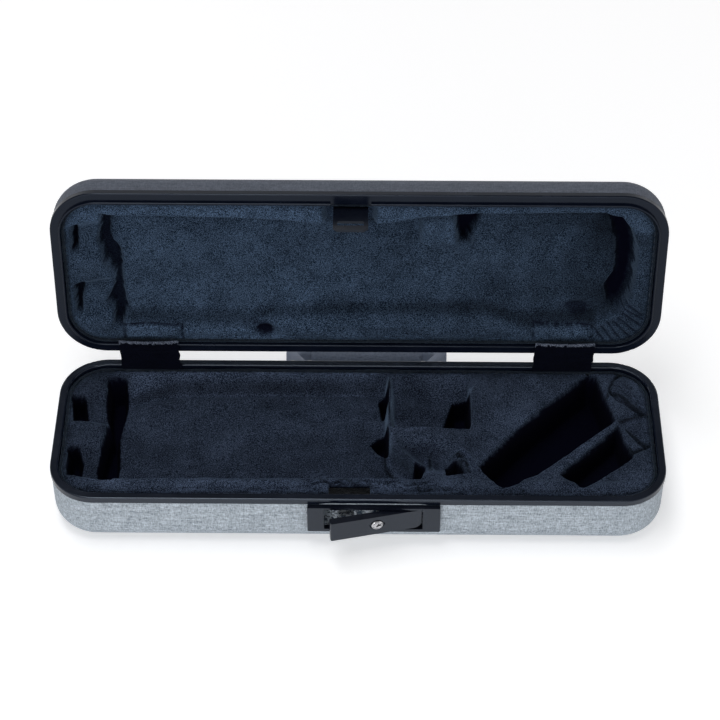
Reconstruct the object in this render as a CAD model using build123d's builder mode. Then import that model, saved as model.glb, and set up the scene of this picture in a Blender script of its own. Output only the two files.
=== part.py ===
from build123d import *
from math import cos, radians, sin
import os

os.makedirs("parts", exist_ok=True)

# Frame: origin at the centre of the tray's underside, X along the case, -Y the latch side,
# +Z up. Millimetres. The case is drawn as it stands open. "Depth in" means the distance
# inwards from the rim's outer face.

# Case
case_length = 360.0
case_depth = 112.4
base_height = 40.0
lid_height = 27.0
back_corner_radius = 28.0
front_corner_radius = 27.3
edge_round = 14.0
shell_wall = 3.0
shell_step = 0.6
lid_opening = 98.9

# Rims
rim_height = 4.0
rim_web = 1.6
rim_leg = 1.05
rim_round = 0.8
base_rim_width = 4.8
lid_rim_width = 6.4
lip_depth_in = 5.15
lip_drop = 1.8
lip_round = 0.5
lip_gap = 0.2
lip_tab_gap = 1.6
scoop_width = 64.0
scoop_height = 3.0
scoop_depth = 0.8
scoop_x = 9.0

# Soft linings
lining = 1.5
base_lining_top = base_height - 3.0
lid_lining_face = base_height + 0.8
base_lining_inset = 6.9
lid_lining_inset = 8.3
piping_radius = 0.9
foam_gap = 0.1

# Hinges
hinge_centres = {"left": -126.0, "right": 123.5}
hinge_back = 2.4
hinge_rise = 10.5
hinge_width = 30.0
knuckle_radius = 2.0
hinge_pin_radius = 1.1
hinge_bore_radius = 1.15
hinge_leaf = 1.4
hinge_ear = 8.0
hinge_gap = 0.2
hinge_strap = 1.2
hinge_leaf_low = 21.0
hinge_wrap = 48.0
hinge_skin_gap = 0.05
hinge_pin_stub = 0.6
hinge_leaf_gap = 0.1
hinge_ear_start = 1.0
rivet_radius = 1.25
rivet_head_radius = 2.3
rivet_head = 0.9
rivet_edge = 0.4
rivet_side = 10.0

# Latch
plate_left = -29.0
plate_right = 48.0
plate_low = 15.0
plate_high = 35.4
plate_proud = 2.6
plate_corner = 0.8
plate_screw_side = 4.6
plate_screw_grip = 1.8
window_left = -19.4
window_right = 37.9
window_low = 17.2
window_high = 34.0
housing_wall = 1.0
housing_depth_in = 15.0
housing_margin = 2.0
housing_margin_top = 1.2
latch_gap = 0.4
pivot_x = 32.6
pivot_depth_in = 0.9
latch_pin_radius = 1.25
latch_bore_radius = 1.3
lever_swing = 12.4
lever_reach = 49.8
lever_heel = 3.9
lever_low = 18.6
lever_high = 33.4
lever_thickness = 4.4
lever_corner = 4.5
lever_end_round = 1.0
barrel_radius = 3.0
barrel_low = 21.2
lock_reach = 22.4
lock_height = 26.9
lock_radius = 3.4
lock_clearance = 0.05
lock_proud = 0.9
lock_edge = 0.4
lock_groove = (2.2, 2.8)
lock_groove_depth = 0.5
lock_eye_width = 9.4
lock_eye_height = 7.4
lock_eye_depth = 0.8
keyway_corners = [(-1.1, -1.4), (0.5, 1.7), (1.5, 0.7), (3.0, 1.5), (3.0, 0.6), (1.4, -0.6)]
keyway_depth = 3.0
cam_radius = 2.6
cam_length = 5.2
cam_thickness = 1.2

# Striker
tab_left = -14.9
tab_width = 20.2
tab_depth_in = 10.0
tab_thickness = 1.6
tab_length = 21.0
tab_slot_width = 15.2
tab_slot_height = 4.3
tab_slot_drop = 14.2
tab_corner = 2.7
tab_room = 2.0
slit_depth_in = (5.4, 13.6)
striker_room_low = 1.0
striker_room_gap = 0.6
striker_rise = 9.6
striker_shelf_rise = 2.4
striker_screw_drop = 3.0
striker_screw_side = 6.0
striker_screw_grip = 2.2
hook_height = 2.8
hook_width = 9.0
hook_side_gap = 2.4
hook_bevel = (3.0, 2.5)
hook_foot = 1.2
hook_foot_side = 1.5
hook_foot_end = 2.0
hook_tip_depth_in = 13.2

# Handle
handle_centre = 4.3
handle_pivot_span = 80.0
handle_grip_span = 104.0
handle_pivot_back = 6.3
handle_pivot_height = 26.0
handle_reach = 36.0
handle_droop = 57.0
handle_thickness = 8.8
handle_bar = 8.0
handle_arm_start = 6.0
handle_corner = 5.0
handle_round = 2.4
handle_grip_radius = 6.0
handle_grip_length = 70.0
handle_grip_end = 1.6
handle_eye_width = 7.0
handle_pin_radius = 1.6
handle_bore_radius = 1.66
bracket_width = 24.0
bracket_height = 18.0
bracket_plate = 2.2
bracket_corner = 2.5
bracket_rim = 0.8
bracket_ear = 2.6
bracket_gap = 0.3

# Screws with a cross slot
screw_radius = 1.3
wall_screw_radius = 1.4
screw_head_radius = 2.2
screw_head = 0.9
screw_slot_length = 2.6
screw_slot_width = 0.6
screw_slot_depth = 0.5

# Velvet flaps over the hinges, with their front line in (Y, Z)
cover_width = 36.2
cover_thickness = 1.4
cover_line = [(45.3, 65.3), (45.3, 58.5), (46.5, 52.5), (48.6, 42.5), (49.3, 37.7)]

# Worked out from these
half_length = case_length / 2
half_depth = case_depth / 2
shell_face = half_depth - shell_step
front_face = -half_depth
rim_base = base_height - rim_height
shell_top = base_height - rim_web
hinge_y = half_depth + hinge_back
hinge_z = base_height + hinge_rise
lid_top = base_height + lid_height
lid_rim_top = base_height + rim_height
open_angle = radians(lid_opening)

# The lid is drawn in its closed place and turned about the hinge with this plane
lid_frame = Plane(
    origin=(
        0,
        hinge_y * (1 - cos(open_angle)) - hinge_z * sin(open_angle),
        hinge_z * (1 - cos(open_angle)) + hinge_y * sin(open_angle),
    ),
    x_dir=(1, 0, 0),
    z_dir=(0, sin(open_angle), cos(open_angle)),
)
lid_up = Axis(lid_frame.origin, lid_frame.z_dir)

# The lever is drawn shut, from its pivot, and swung out with this plane
lever_angle = radians(lever_swing)
lever_frame = Plane(
    origin=(pivot_x, front_face + pivot_depth_in, 0),
    x_dir=(cos(lever_angle), sin(lever_angle), 0),
    z_dir=(0, 0, 1),
)
lever_front = -(plate_proud + pivot_depth_in)
lever_back = lever_front + lever_thickness


def lid_level(height):
    """Plane at a height of the closed case, in the open lid."""
    return lid_frame.offset(height)


def side_plane(frame, x):
    """Plane across the case at x, in which the sketch has X along Y and Y along Z."""
    origin = frame.from_local_coords(Vector(x, 0, 0))
    return Plane(origin=origin, x_dir=frame.y_dir, z_dir=frame.x_dir)


def case_outline(plane, inset):
    """Plan outline of the case, moved in by inset."""
    with BuildSketch(plane) as outline:
        Rectangle(case_length - 2 * inset, case_depth - 2 * inset)
        corners = outline.vertices().group_by(Axis.Y)
        fillet(corners[-1], back_corner_radius - inset)
        corners = outline.vertices().group_by(Axis.Y)
        fillet(corners[0], front_corner_radius - inset)
    return outline.sketch


def outline_path(plane, inset):
    """Closed line round the case, moved in by inset."""
    return case_outline(plane, inset).faces()[0].outer_wire()


def case_block(frame, inset, low, high, radius, rounded):
    """Solid that follows the outline between two heights, with one end rounded over."""
    with BuildPart() as block:
        extrude(case_outline(frame.offset(low), inset), amount=high - low)
        along = Axis(frame.origin, frame.z_dir)
        end = block.faces().sort_by(along)[0 if rounded == "low" else -1]
        fillet(end.edges(), radius)
    return block.part


def case_ring(frame, outer, inner, low, high):
    """Square-edged ring between two insets and two heights."""
    with BuildPart() as ring:
        extrude(case_outline(frame.offset(low), outer), amount=high - low)
        extrude(case_outline(frame.offset(low), inner), amount=high - low, mode=Mode.SUBTRACT)
    return ring.part


def hollow_sketch(plane, points, radius, grow=0.0):
    """Rounded polygon for a hollow, grown by the lining where asked."""
    with BuildSketch(plane) as hollow:
        with BuildLine():
            Polyline(*points, close=True)
        make_face()
        if grow:
            offset(amount=grow, kind=Kind.INTERSECTION)
        fillet(hollow.vertices(), radius)
    return hollow.sketch


def box_points(left, right, front, back):
    return [(left, front), (right, front), (right, back), (left, back)]


def finish(piece, name):
    """Label a finished piece and write it."""
    piece.part.label = name
    export_step(piece.part, f"parts/{name}.step")


# Hollows of the base: outline at the lining's top, corner radius, floor height
base_hollows = [
    ([(-145.0, -36.5), (37.0, -36.5), (16.0, 1.0), (16.0, 45.0), (-145.0, 45.0)], 4.0, 23.0),
    (box_points(-151.5, -141.5, 4.5, 42.0), 2.5, 14.0),
    (box_points(-152.0, -142.5, -36.5, 1.0), 2.5, 14.0),
    (box_points(-165.0, -148.0, 11.0, 27.0), 2.0, 29.0),
    (box_points(-165.0, -148.0, -33.0, -16.0), 2.0, 29.0),
    (box_points(-172.5, -163.0, 9.5, 28.0), 3.0, 21.0),
    (box_points(-170.5, -162.8, -33.5, -14.0), 2.5, 21.0),
    (box_points(20.0, 67.0, 5.0, 42.0), 4.0, 25.0),
    (box_points(54.0, 65.5, 8.0, 30.0), 3.0, 13.0),
    ([(24.0, -3.0), (61.0, -3.0), (61.0, -31.0), (41.0, -31.0)], 3.0, 28.0),
    ([(84.0, -43.0), (152.0, 12.0), (140.0, 47.5), (71.0, -27.0)], 4.0, 9.0),
    ([(118.8, -32.8), (130.9, -42.4), (160.0, -18.4), (155.0, 3.0)], 2.5, 15.0),
]
slit_left = tab_left - tab_room
slit_right = tab_left + tab_width + tab_room
slit_front = front_face + slit_depth_in[0]
slit_back = front_face + slit_depth_in[1]
lid_recess = [
    (-144.0, -38.0),
    (-22.0, -33.5),
    (9.0, -33.5),
    (72.0, -41.0),
    (140.0, -41.0),
    (160.0, -24.0),
    (160.0, 22.0),
    (136.0, 33.0),
    (-142.0, 33.0),
]
lid_recess_depth = 11.0
lid_recess_radius = 5.0

# Latch housing, outer size; it stands in a window in the tray's wall
housing_left = window_left - housing_margin
housing_right = window_right + housing_margin
housing_low = window_low - housing_margin
housing_high = window_high + housing_margin_top
housing_back = front_face + housing_depth_in
plate_screws = [
    (plate_left + plate_screw_side, plate_low + plate_screw_side),
    (plate_left + plate_screw_side, plate_high - plate_screw_side),
    (plate_right - plate_screw_side, plate_low + plate_screw_side),
    (plate_right - plate_screw_side, plate_high - plate_screw_side),
]
front_plane = Plane(origin=(0, front_face, 0), x_dir=(1, 0, 0), z_dir=(0, -1, 0))
back_plane = Plane(origin=(0, shell_face, 0), x_dir=(-1, 0, 0), z_dir=(0, 1, 0))
base_rivet_heights = (24.5, 31.5)
base_rivets = [
    (-(centre + side), height)
    for centre in hinge_centres.values()
    for side in (-rivet_side, rivet_side)
    for height in base_rivet_heights
]
bracket_centres = {
    "left": handle_centre - handle_pivot_span / 2,
    "right": handle_centre + handle_pivot_span / 2,
}
bracket_mid = handle_pivot_height
bracket_screw_side = 9.2
bracket_screws = [
    (-(centre + side), bracket_mid)
    for centre in bracket_centres.values()
    for side in (-bracket_screw_side, bracket_screw_side)
]

# Tray
with BuildPart() as base_shell:
    add(case_block(Plane.XY, shell_step, 0, shell_top, edge_round, "low"))
    add(case_ring(Plane.XY, 0, rim_leg, rim_base, shell_top), mode=Mode.SUBTRACT)
    cavity_inset = shell_step + shell_wall
    cavity_round = edge_round - shell_wall
    cavity = case_block(Plane.XY, cavity_inset, shell_wall, base_height, cavity_round, "low")
    add(cavity, mode=Mode.SUBTRACT)
    with BuildSketch(front_plane):
        with Locations(((housing_left + housing_right) / 2, (housing_low + housing_high) / 2)):
            Rectangle(housing_right - housing_left, housing_high - housing_low)
    extrude(amount=-2 * shell_wall, mode=Mode.SUBTRACT)
    with BuildSketch(front_plane):
        with Locations(*plate_screws):
            Circle(screw_radius)
    extrude(amount=-2 * shell_wall, mode=Mode.SUBTRACT)
    with BuildSketch(back_plane):
        with Locations(*base_rivets):
            Circle(rivet_radius)
        with Locations(*bracket_screws):
            Circle(wall_screw_radius)
    extrude(amount=-2 * shell_wall, mode=Mode.SUBTRACT)
finish(base_shell, "base_shell")

# Channel over the tray's edge, with the thumb scoop above the latch
with BuildPart() as base_rim:
    add(case_ring(Plane.XY, 0, base_rim_width, rim_base, base_height))
    top_edges = base_rim.faces().sort_by(Axis.Z)[-1].edges()
    fillet(top_edges, rim_round)
    groove_inner = shell_step + shell_wall + 0.05
    add(case_ring(Plane.XY, rim_leg, groove_inner, rim_base, shell_top), mode=Mode.SUBTRACT)
    scoop_radius = (scoop_width**2 / 4 + scoop_height**2) / (2 * scoop_height)
    with BuildSketch(front_plane):
        with Locations((scoop_x, rim_base + scoop_height - scoop_radius)):
            Circle(scoop_radius)
    extrude(amount=-scoop_depth, mode=Mode.SUBTRACT)
finish(base_rim, "base_rim")

# Room in the foam and the lining for the latch housing, its screws and the striker
wall_inside = Plane(
    origin=(0, front_face + shell_step + shell_wall, 0), x_dir=(1, 0, 0), z_dir=(0, -1, 0)
)
with BuildPart() as latch_room:
    with BuildSketch(Plane.XY.offset(housing_low - latch_gap)):
        with Locations(((housing_left + housing_right) / 2, (front_face + housing_back) / 2)):
            Rectangle(housing_right - housing_left + 2 * latch_gap, housing_depth_in + 2 * latch_gap)
    extrude(amount=housing_high - housing_low + 2 * latch_gap)
    with BuildSketch(wall_inside):
        with Locations(*plate_screws):
            Circle(screw_head_radius + latch_gap)
    extrude(amount=-(screw_head + latch_gap))
    with BuildSketch(Plane.XY.offset(housing_low)):
        with Locations(((slit_left + slit_right) / 2, (slit_front + slit_back) / 2)):
            Rectangle(slit_right - slit_left, slit_back - slit_front)
    extrude(amount=base_height - housing_low)

# Foam that fills the tray under the velvet, in four blocks from left to right
foam_top = base_lining_top - lining
foam_blocks = {
    "end": (-half_length, -135.0),
    "well": (-135.0, 0.0),
    "seats": (0.0, 76.0),
    "bell": (76.0, half_length),
}
with BuildPart() as foam_shape:
    foam_inset = cavity_inset + foam_gap
    foam_low = shell_wall + foam_gap
    foam_round = cavity_round - foam_gap
    add(case_block(Plane.XY, foam_inset, foam_low, foam_top, foam_round, "low"))
    for points, radius, floor in base_hollows:
        grown = hollow_sketch(Plane.XY.offset(floor - lining), points, radius, lining)
        extrude(grown, amount=base_height - floor, mode=Mode.SUBTRACT)
    add(latch_room.part, mode=Mode.SUBTRACT)

for block, (block_left, block_right) in foam_blocks.items():
    with BuildPart() as base_foam:
        add(foam_shape.part)
        with BuildSketch(Plane.XY):
            with Locations(((block_left + block_right) / 2, 0)):
                Rectangle(block_right - block_left - foam_gap, case_depth)
        extrude(amount=base_height, mode=Mode.INTERSECT)
    finish(base_foam, f"base_foam_{block}")

# Velvet skin: a flat top and a pocket in each hollow
with BuildPart() as base_lining:
    extrude(case_outline(Plane.XY.offset(foam_top), base_lining_inset), amount=lining)
    for points, radius, floor in base_hollows:
        grown = hollow_sketch(Plane.XY.offset(floor - lining), points, radius, lining)
        extrude(grown, amount=foam_top - floor + lining)
    inside = case_block(
        Plane.XY, base_lining_inset, foam_low, base_height, edge_round - base_lining_inset, "low"
    )
    add(inside, mode=Mode.INTERSECT)
    for points, radius, floor in base_hollows:
        bare = hollow_sketch(Plane.XY.offset(floor), points, radius)
        extrude(bare, amount=base_height - floor, mode=Mode.SUBTRACT)
    add(latch_room.part, mode=Mode.SUBTRACT)
finish(base_lining, "base_lining")

with BuildPart() as base_piping:
    cord_line = outline_path(Plane.XY.offset(base_lining_top - 0.3), base_lining_inset - piping_radius)
    start = cord_line @ 0
    with BuildSketch(Plane(origin=start, z_dir=cord_line % 0)):
        Circle(piping_radius)
    sweep(path=cord_line)
    add(latch_room.part, mode=Mode.SUBTRACT)
finish(base_piping, "base_piping")

# Latch: frame, cup, pivot and screws
with BuildPart() as latch_plate:
    plate_face = Plane(origin=(0, front_face - plate_proud, 0), x_dir=(1, 0, 0), z_dir=(0, -1, 0))
    with BuildSketch(plate_face):
        with Locations(((plate_left + plate_right) / 2, (plate_low + plate_high) / 2)):
            RectangleRounded(plate_right - plate_left, plate_high - plate_low, plate_corner)
        with Locations(((window_left + window_right) / 2, (window_low + window_high) / 2)):
            RectangleRounded(
                window_right - window_left, window_high - window_low, plate_corner, mode=Mode.SUBTRACT
            )
    extrude(amount=-(plate_proud + shell_step))
    with BuildSketch(wall_inside):
        with Locations(*plate_screws):
            Circle(screw_radius)
    extrude(amount=shell_wall + plate_screw_grip, mode=Mode.SUBTRACT)
    with BuildSketch(lever_frame.offset(housing_low)):
        Circle(latch_pin_radius)
    extrude(amount=housing_high - housing_low, mode=Mode.SUBTRACT)
finish(latch_plate, "latch_plate")

with BuildPart() as latch_housing:
    cup_front = front_face + shell_step
    cup_middle = ((housing_left + housing_right) / 2, (cup_front + housing_back) / 2)
    with BuildSketch(Plane.XY.offset(housing_low)):
        with Locations(cup_middle):
            Rectangle(housing_right - housing_left, housing_back - cup_front)
    extrude(amount=housing_high - housing_low)
    with BuildSketch(Plane.XY.offset(housing_low + housing_wall)):
        with Locations((cup_middle[0], cup_middle[1] - housing_wall)):
            Rectangle(housing_right - housing_left - 2 * housing_wall, housing_back - cup_front)
    extrude(amount=housing_high - housing_low - 2 * housing_wall, mode=Mode.SUBTRACT)
    with BuildSketch(Plane.XY.offset(housing_high - 2 * housing_wall)):
        with Locations(((slit_left + slit_right) / 2, (slit_front + slit_back) / 2)):
            Rectangle(slit_right - slit_left, slit_back - slit_front)
    extrude(amount=3 * housing_wall, mode=Mode.SUBTRACT)
    with BuildSketch(Plane.XY.offset(housing_low)):
        with Locations((lever_frame.origin.X, lever_frame.origin.Y)):
            Circle(latch_pin_radius)
    extrude(amount=housing_high - housing_low, mode=Mode.SUBTRACT)
finish(latch_housing, "latch_housing")

with BuildPart() as latch_pin:
    with BuildSketch(lever_frame.offset(housing_low)):
        Circle(latch_pin_radius)
    extrude(amount=housing_high - housing_low)
finish(latch_pin, "latch_pin")

with BuildPart() as latch_screws:
    with BuildSketch(wall_inside):
        with Locations(*plate_screws):
            Circle(screw_head_radius)
    extrude(amount=-screw_head)
    with BuildSketch(wall_inside):
        with Locations(*plate_screws):
            Circle(screw_radius)
    extrude(amount=shell_wall + plate_screw_grip)
    with BuildSketch(wall_inside.offset(-screw_head)):
        with Locations(*plate_screws):
            Rectangle(screw_slot_length, screw_slot_width)
            Rectangle(screw_slot_width, screw_slot_length)
    extrude(amount=screw_slot_depth, mode=Mode.SUBTRACT)
finish(latch_screws, "latch_screws")

# Lever with its lock, swung out as in use
lever_face = Plane(
    origin=lever_frame.from_local_coords(Vector(0, lever_front, 0)),
    x_dir=lever_frame.x_dir,
    z_dir=-lever_frame.y_dir,
)
with BuildPart() as latch_lever:
    with BuildSketch(lever_face) as lever_outline:
        with Locations(((lever_heel - lever_reach) / 2, (lever_low + lever_high) / 2)):
            Rectangle(lever_heel + lever_reach, lever_high - lever_low)
        low_corners = lever_outline.vertices().group_by(Axis.Y)[0]
        fillet(low_corners.sort_by(Axis.X)[-1], lever_corner)
    extrude(amount=-lever_thickness)
    free_end = latch_lever.edges().filter_by(Axis.Z).sort_by(Axis.X)[0:2]
    fillet(free_end, lever_end_round)
    with BuildSketch(lever_frame.offset(barrel_low)):
        Circle(barrel_radius)
    extrude(amount=lever_high - barrel_low)
    eye_bow = (lock_eye_width**2 + lock_eye_height**2) / (4 * lock_eye_height)
    with BuildSketch(lever_face):
        with Locations((-lock_reach, lock_height + eye_bow - lock_eye_height / 2)):
            Circle(eye_bow)
        with Locations((-lock_reach, lock_height - eye_bow + lock_eye_height / 2)):
            Circle(eye_bow, mode=Mode.INTERSECT)
    extrude(amount=-lock_eye_depth, mode=Mode.SUBTRACT)
    with BuildSketch(lever_face):
        with Locations((-lock_reach, lock_height)):
            Circle(lock_radius + lock_clearance)
    extrude(amount=-2 * lever_thickness, mode=Mode.SUBTRACT)
    with BuildSketch(lever_frame.offset(lever_low)):
        Circle(latch_bore_radius)
    extrude(amount=lever_high - lever_low, mode=Mode.SUBTRACT)
finish(latch_lever, "latch_lever")

hook_low = base_height - tab_slot_drop - hook_height / 2
hook_left = tab_left + (tab_width - tab_slot_width) / 2 + hook_side_gap - pivot_x
hook_tip = hook_tip_depth_in - pivot_depth_in
with BuildPart() as latch_hook:
    with BuildSketch(lever_frame.offset(hook_low)):
        with BuildLine():
            Polyline(
                (hook_left, lever_back),
                (hook_left + hook_width, lever_back),
                (hook_left + hook_width, hook_tip - hook_bevel[1]),
                (hook_left + hook_width - hook_bevel[0], hook_tip),
                (hook_left, hook_tip),
                close=True,
            )
        make_face()
    extrude(amount=hook_height)
    with BuildSketch(lever_frame.offset(lever_low + hook_foot_end)):
        with Locations((hook_left + hook_width / 2, lever_back + hook_foot / 2)):
            Rectangle(hook_width + 2 * hook_foot_side, hook_foot)
    extrude(amount=lever_high - lever_low - 2 * hook_foot_end)
finish(latch_hook, "latch_hook")

with BuildPart() as lock_cylinder:
    lock_face = lever_face.offset(lock_proud)
    with BuildSketch(lock_face):
        with Locations((-lock_reach, lock_height)):
            Circle(lock_radius)
    extrude(amount=-(lever_thickness + lock_proud))
    chamfer(lock_cylinder.faces().sort_by(Axis.Y)[0].edges(), lock_edge)
    with BuildSketch(lock_face):
        with Locations((-lock_reach, lock_height)):
            Circle(lock_groove[1])
            Circle(lock_groove[0], mode=Mode.SUBTRACT)
    extrude(amount=-lock_groove_depth, mode=Mode.SUBTRACT)
    with BuildSketch(lock_face):
        with Locations((-lock_reach, lock_height)):
            Polygon(*keyway_corners, align=(Align.NONE, Align.NONE))
    extrude(amount=-keyway_depth, mode=Mode.SUBTRACT)
finish(lock_cylinder, "lock_cylinder")

with BuildPart() as lock_cam:
    cam_face = Plane(
        origin=lever_frame.from_local_coords(Vector(0, lever_back, 0)),
        x_dir=lever_frame.x_dir,
        z_dir=lever_frame.y_dir,
    )
    with BuildSketch(cam_face):
        with Locations((-lock_reach, -lock_height)):
            Circle(cam_radius)
        with Locations((-lock_reach - cam_length / 2, -lock_height)):
            Rectangle(cam_length, cam_radius)
    extrude(amount=cam_thickness)
finish(lock_cam, "lock_cam")

# Lid, drawn closed in its own frame
lid_wall_low = base_height + rim_web
striker_back = front_face + tab_depth_in + tab_thickness
striker_high = lid_rim_top + striker_rise
striker_shelf = lid_rim_top + striker_shelf_rise
striker_foot = front_face + cavity_inset + foam_gap
striker_middle = tab_left + tab_width / 2
striker_screws_at = [
    (striker_middle - striker_screw_side, striker_high - striker_screw_drop),
    (striker_middle + striker_screw_side, striker_high - striker_screw_drop),
]
lid_front = Plane(
    origin=lid_frame.from_local_coords(Vector(0, striker_foot + tab_thickness, 0)),
    x_dir=lid_frame.x_dir,
    z_dir=-lid_frame.y_dir,
)
lid_rivet_turn = radians(hinge_wrap / 2)
lid_rivet_plane = Plane(
    origin=lid_frame.from_local_coords(
        Vector(
            0,
            shell_face - edge_round + edge_round * cos(lid_rivet_turn),
            lid_top - edge_round + edge_round * sin(lid_rivet_turn),
        )
    ),
    x_dir=lid_frame.x_dir,
    z_dir=lid_frame.y_dir * cos(lid_rivet_turn) + lid_frame.z_dir * sin(lid_rivet_turn),
)
lid_rivets = [
    (centre + side, 0)
    for centre in hinge_centres.values()
    for side in (-rivet_side, 0.0, rivet_side)
]

with BuildPart() as lid_shell:
    add(case_block(lid_frame, shell_step, lid_wall_low, lid_top, edge_round, "high"))
    add(case_ring(lid_frame, 0, rim_leg, lid_wall_low - 1, lid_rim_top), mode=Mode.SUBTRACT)
    lid_inside = lid_top - shell_wall
    cavity = case_block(lid_frame, cavity_inset, base_height, lid_inside, cavity_round, "high")
    add(cavity, mode=Mode.SUBTRACT)
    with BuildSketch(lid_rivet_plane):
        with Locations(*lid_rivets):
            Circle(rivet_radius)
    extrude(amount=-2 * shell_wall, mode=Mode.SUBTRACT)
    with BuildSketch(lid_front):
        with Locations(*striker_screws_at):
            Circle(screw_radius)
    extrude(amount=tab_thickness + striker_screw_grip, mode=Mode.SUBTRACT)
finish(lid_shell, "lid_shell")

with BuildPart() as lid_rim:
    add(case_ring(lid_frame, 0, lid_rim_width, base_height, lid_rim_top))
    fillet(lid_rim.faces().sort_by(lid_up)[0].edges(), rim_round)
    add(case_ring(lid_frame, rim_leg, groove_inner, lid_wall_low, lid_rim_top), mode=Mode.SUBTRACT)
    lip_low = base_height - lip_drop
    add(case_ring(lid_frame, lip_depth_in, lid_rim_width, lip_low, base_height + rim_round))
    fillet(lid_rim.faces().sort_by(lid_up)[0].edges(), lip_round)
    with BuildSketch(lid_level(lip_low)):
        with Locations((striker_middle, front_face + lid_rim_width)):
            Rectangle(tab_width + 2 * lip_tab_gap, 2 * (lid_rim_width - lip_depth_in + lip_gap))
    extrude(amount=lip_drop, mode=Mode.SUBTRACT)
finish(lid_rim, "lid_rim")

# Room for the striker in the lid's foam and lining
with BuildPart() as striker_room:
    with BuildSketch(lid_level(base_height - striker_room_low)):
        room_front = striker_foot - foam_gap
        room_back = lid_recess[1][1] + tab_room
        with Locations((striker_middle, (room_front + room_back) / 2)):
            Rectangle(tab_width + 2 * tab_room, room_back - room_front)
    extrude(amount=striker_high + striker_room_gap - base_height + striker_room_low)

lid_skin = lid_lining_face + lining
lid_recess_top = lid_lining_face + lid_recess_depth
with BuildPart() as lid_foam:
    lid_foam_top = lid_inside - foam_gap
    add(case_block(lid_frame, foam_inset, lid_rim_top + foam_gap, lid_foam_top, foam_round, "high"))
    slab_low = lid_level(lid_skin)
    slab = lid_rim_top + 2 * foam_gap - lid_skin
    extrude(case_outline(slab_low, lid_rim_width + foam_gap), amount=slab)
    grown = hollow_sketch(slab_low, lid_recess, lid_recess_radius, lining)
    extrude(grown, amount=lid_recess_top + lining - lid_skin, mode=Mode.SUBTRACT)
    add(striker_room.part, mode=Mode.SUBTRACT)
finish(lid_foam, "lid_foam")

with BuildPart() as lid_lining:
    extrude(case_outline(lid_level(lid_lining_face), lid_lining_inset), amount=lining)
    grown = hollow_sketch(lid_level(lid_skin), lid_recess, lid_recess_radius, lining)
    extrude(grown, amount=lid_recess_top + lining - lid_skin)
    bare = hollow_sketch(lid_level(lid_lining_face), lid_recess, lid_recess_radius)
    extrude(bare, amount=lid_recess_depth, mode=Mode.SUBTRACT)
    add(striker_room.part, mode=Mode.SUBTRACT)
finish(lid_lining, "lid_lining")

with BuildPart() as lid_piping:
    cord_level = lid_level(lid_lining_face + 0.6)
    cord_line = outline_path(cord_level, lid_lining_inset - piping_radius)
    with BuildSketch(Plane(origin=cord_line @ 0, z_dir=cord_line % 0)):
        Circle(piping_radius)
    sweep(path=cord_line)
finish(lid_piping, "lid_piping")

# Striker: a bent plate that hangs from the lid's front wall
with BuildPart() as striker_plate:
    with BuildSketch(side_plane(lid_frame, tab_left)):
        with BuildLine():
            Polyline(
                (striker_back, base_height - tab_length),
                (striker_back, striker_shelf + tab_thickness),
                (striker_foot + tab_thickness, striker_shelf + tab_thickness),
                (striker_foot + tab_thickness, striker_high),
                (striker_foot, striker_high),
                (striker_foot, striker_shelf),
                (striker_back - tab_thickness, striker_shelf),
                (striker_back - tab_thickness, base_height - tab_length),
                close=True,
            )
        make_face()
    extrude(amount=tab_width)
    tip = striker_plate.faces().sort_by(lid_up)[0]
    chamfer(tip.edges().filter_by(Axis(lid_frame.origin, lid_frame.y_dir)), tab_corner)
    with BuildSketch(lid_front):
        with Locations((striker_middle, base_height - tab_slot_drop)):
            Rectangle(tab_slot_width, tab_slot_height)
    extrude(amount=-2 * tab_depth_in, mode=Mode.SUBTRACT)
    with BuildSketch(lid_front):
        with Locations(*striker_screws_at):
            Circle(screw_radius)
    extrude(amount=tab_thickness, mode=Mode.SUBTRACT)
finish(striker_plate, "striker_plate")

with BuildPart() as striker_screws:
    with BuildSketch(lid_front):
        with Locations(*striker_screws_at):
            Circle(screw_radius)
    extrude(amount=tab_thickness + striker_screw_grip)
    with BuildSketch(lid_front):
        with Locations(*striker_screws_at):
            Circle(screw_head_radius)
    extrude(amount=-screw_head)
finish(striker_screws, "striker_screws")

# Hinges
ear_face = half_depth + hinge_skin_gap
leaf_face = shell_face + hinge_skin_gap
leaf_back = leaf_face + hinge_leaf - shell_face
leaf_high = rim_base - hinge_leaf_gap
bend_centre = (shell_face - edge_round, lid_top - edge_round)
bend_radius = edge_round + hinge_skin_gap
with BuildPart() as hinge_base_rivets:
    with BuildSketch(back_plane.offset(leaf_back)):
        with Locations(*base_rivets):
            Circle(rivet_head_radius)
    extrude(amount=rivet_head)
    chamfer(hinge_base_rivets.faces().group_by(Axis.Y)[-1].edges(), rivet_edge)
    with BuildSketch(back_plane.offset(leaf_back)):
        with Locations(*base_rivets):
            Circle(rivet_radius)
    extrude(amount=-(leaf_back + shell_wall))
finish(hinge_base_rivets, "hinge_base_rivets")

with BuildPart() as hinge_lid_rivets:
    rivet_seat = lid_rivet_plane.offset(hinge_leaf + hinge_skin_gap)
    with BuildSketch(rivet_seat):
        with Locations(*lid_rivets):
            Circle(rivet_head_radius)
    extrude(amount=rivet_head)
    with BuildSketch(rivet_seat):
        with Locations(*lid_rivets):
            Circle(rivet_radius)
    extrude(amount=-(hinge_leaf + hinge_skin_gap + shell_wall))
finish(hinge_lid_rivets, "hinge_lid_rivets")

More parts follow.
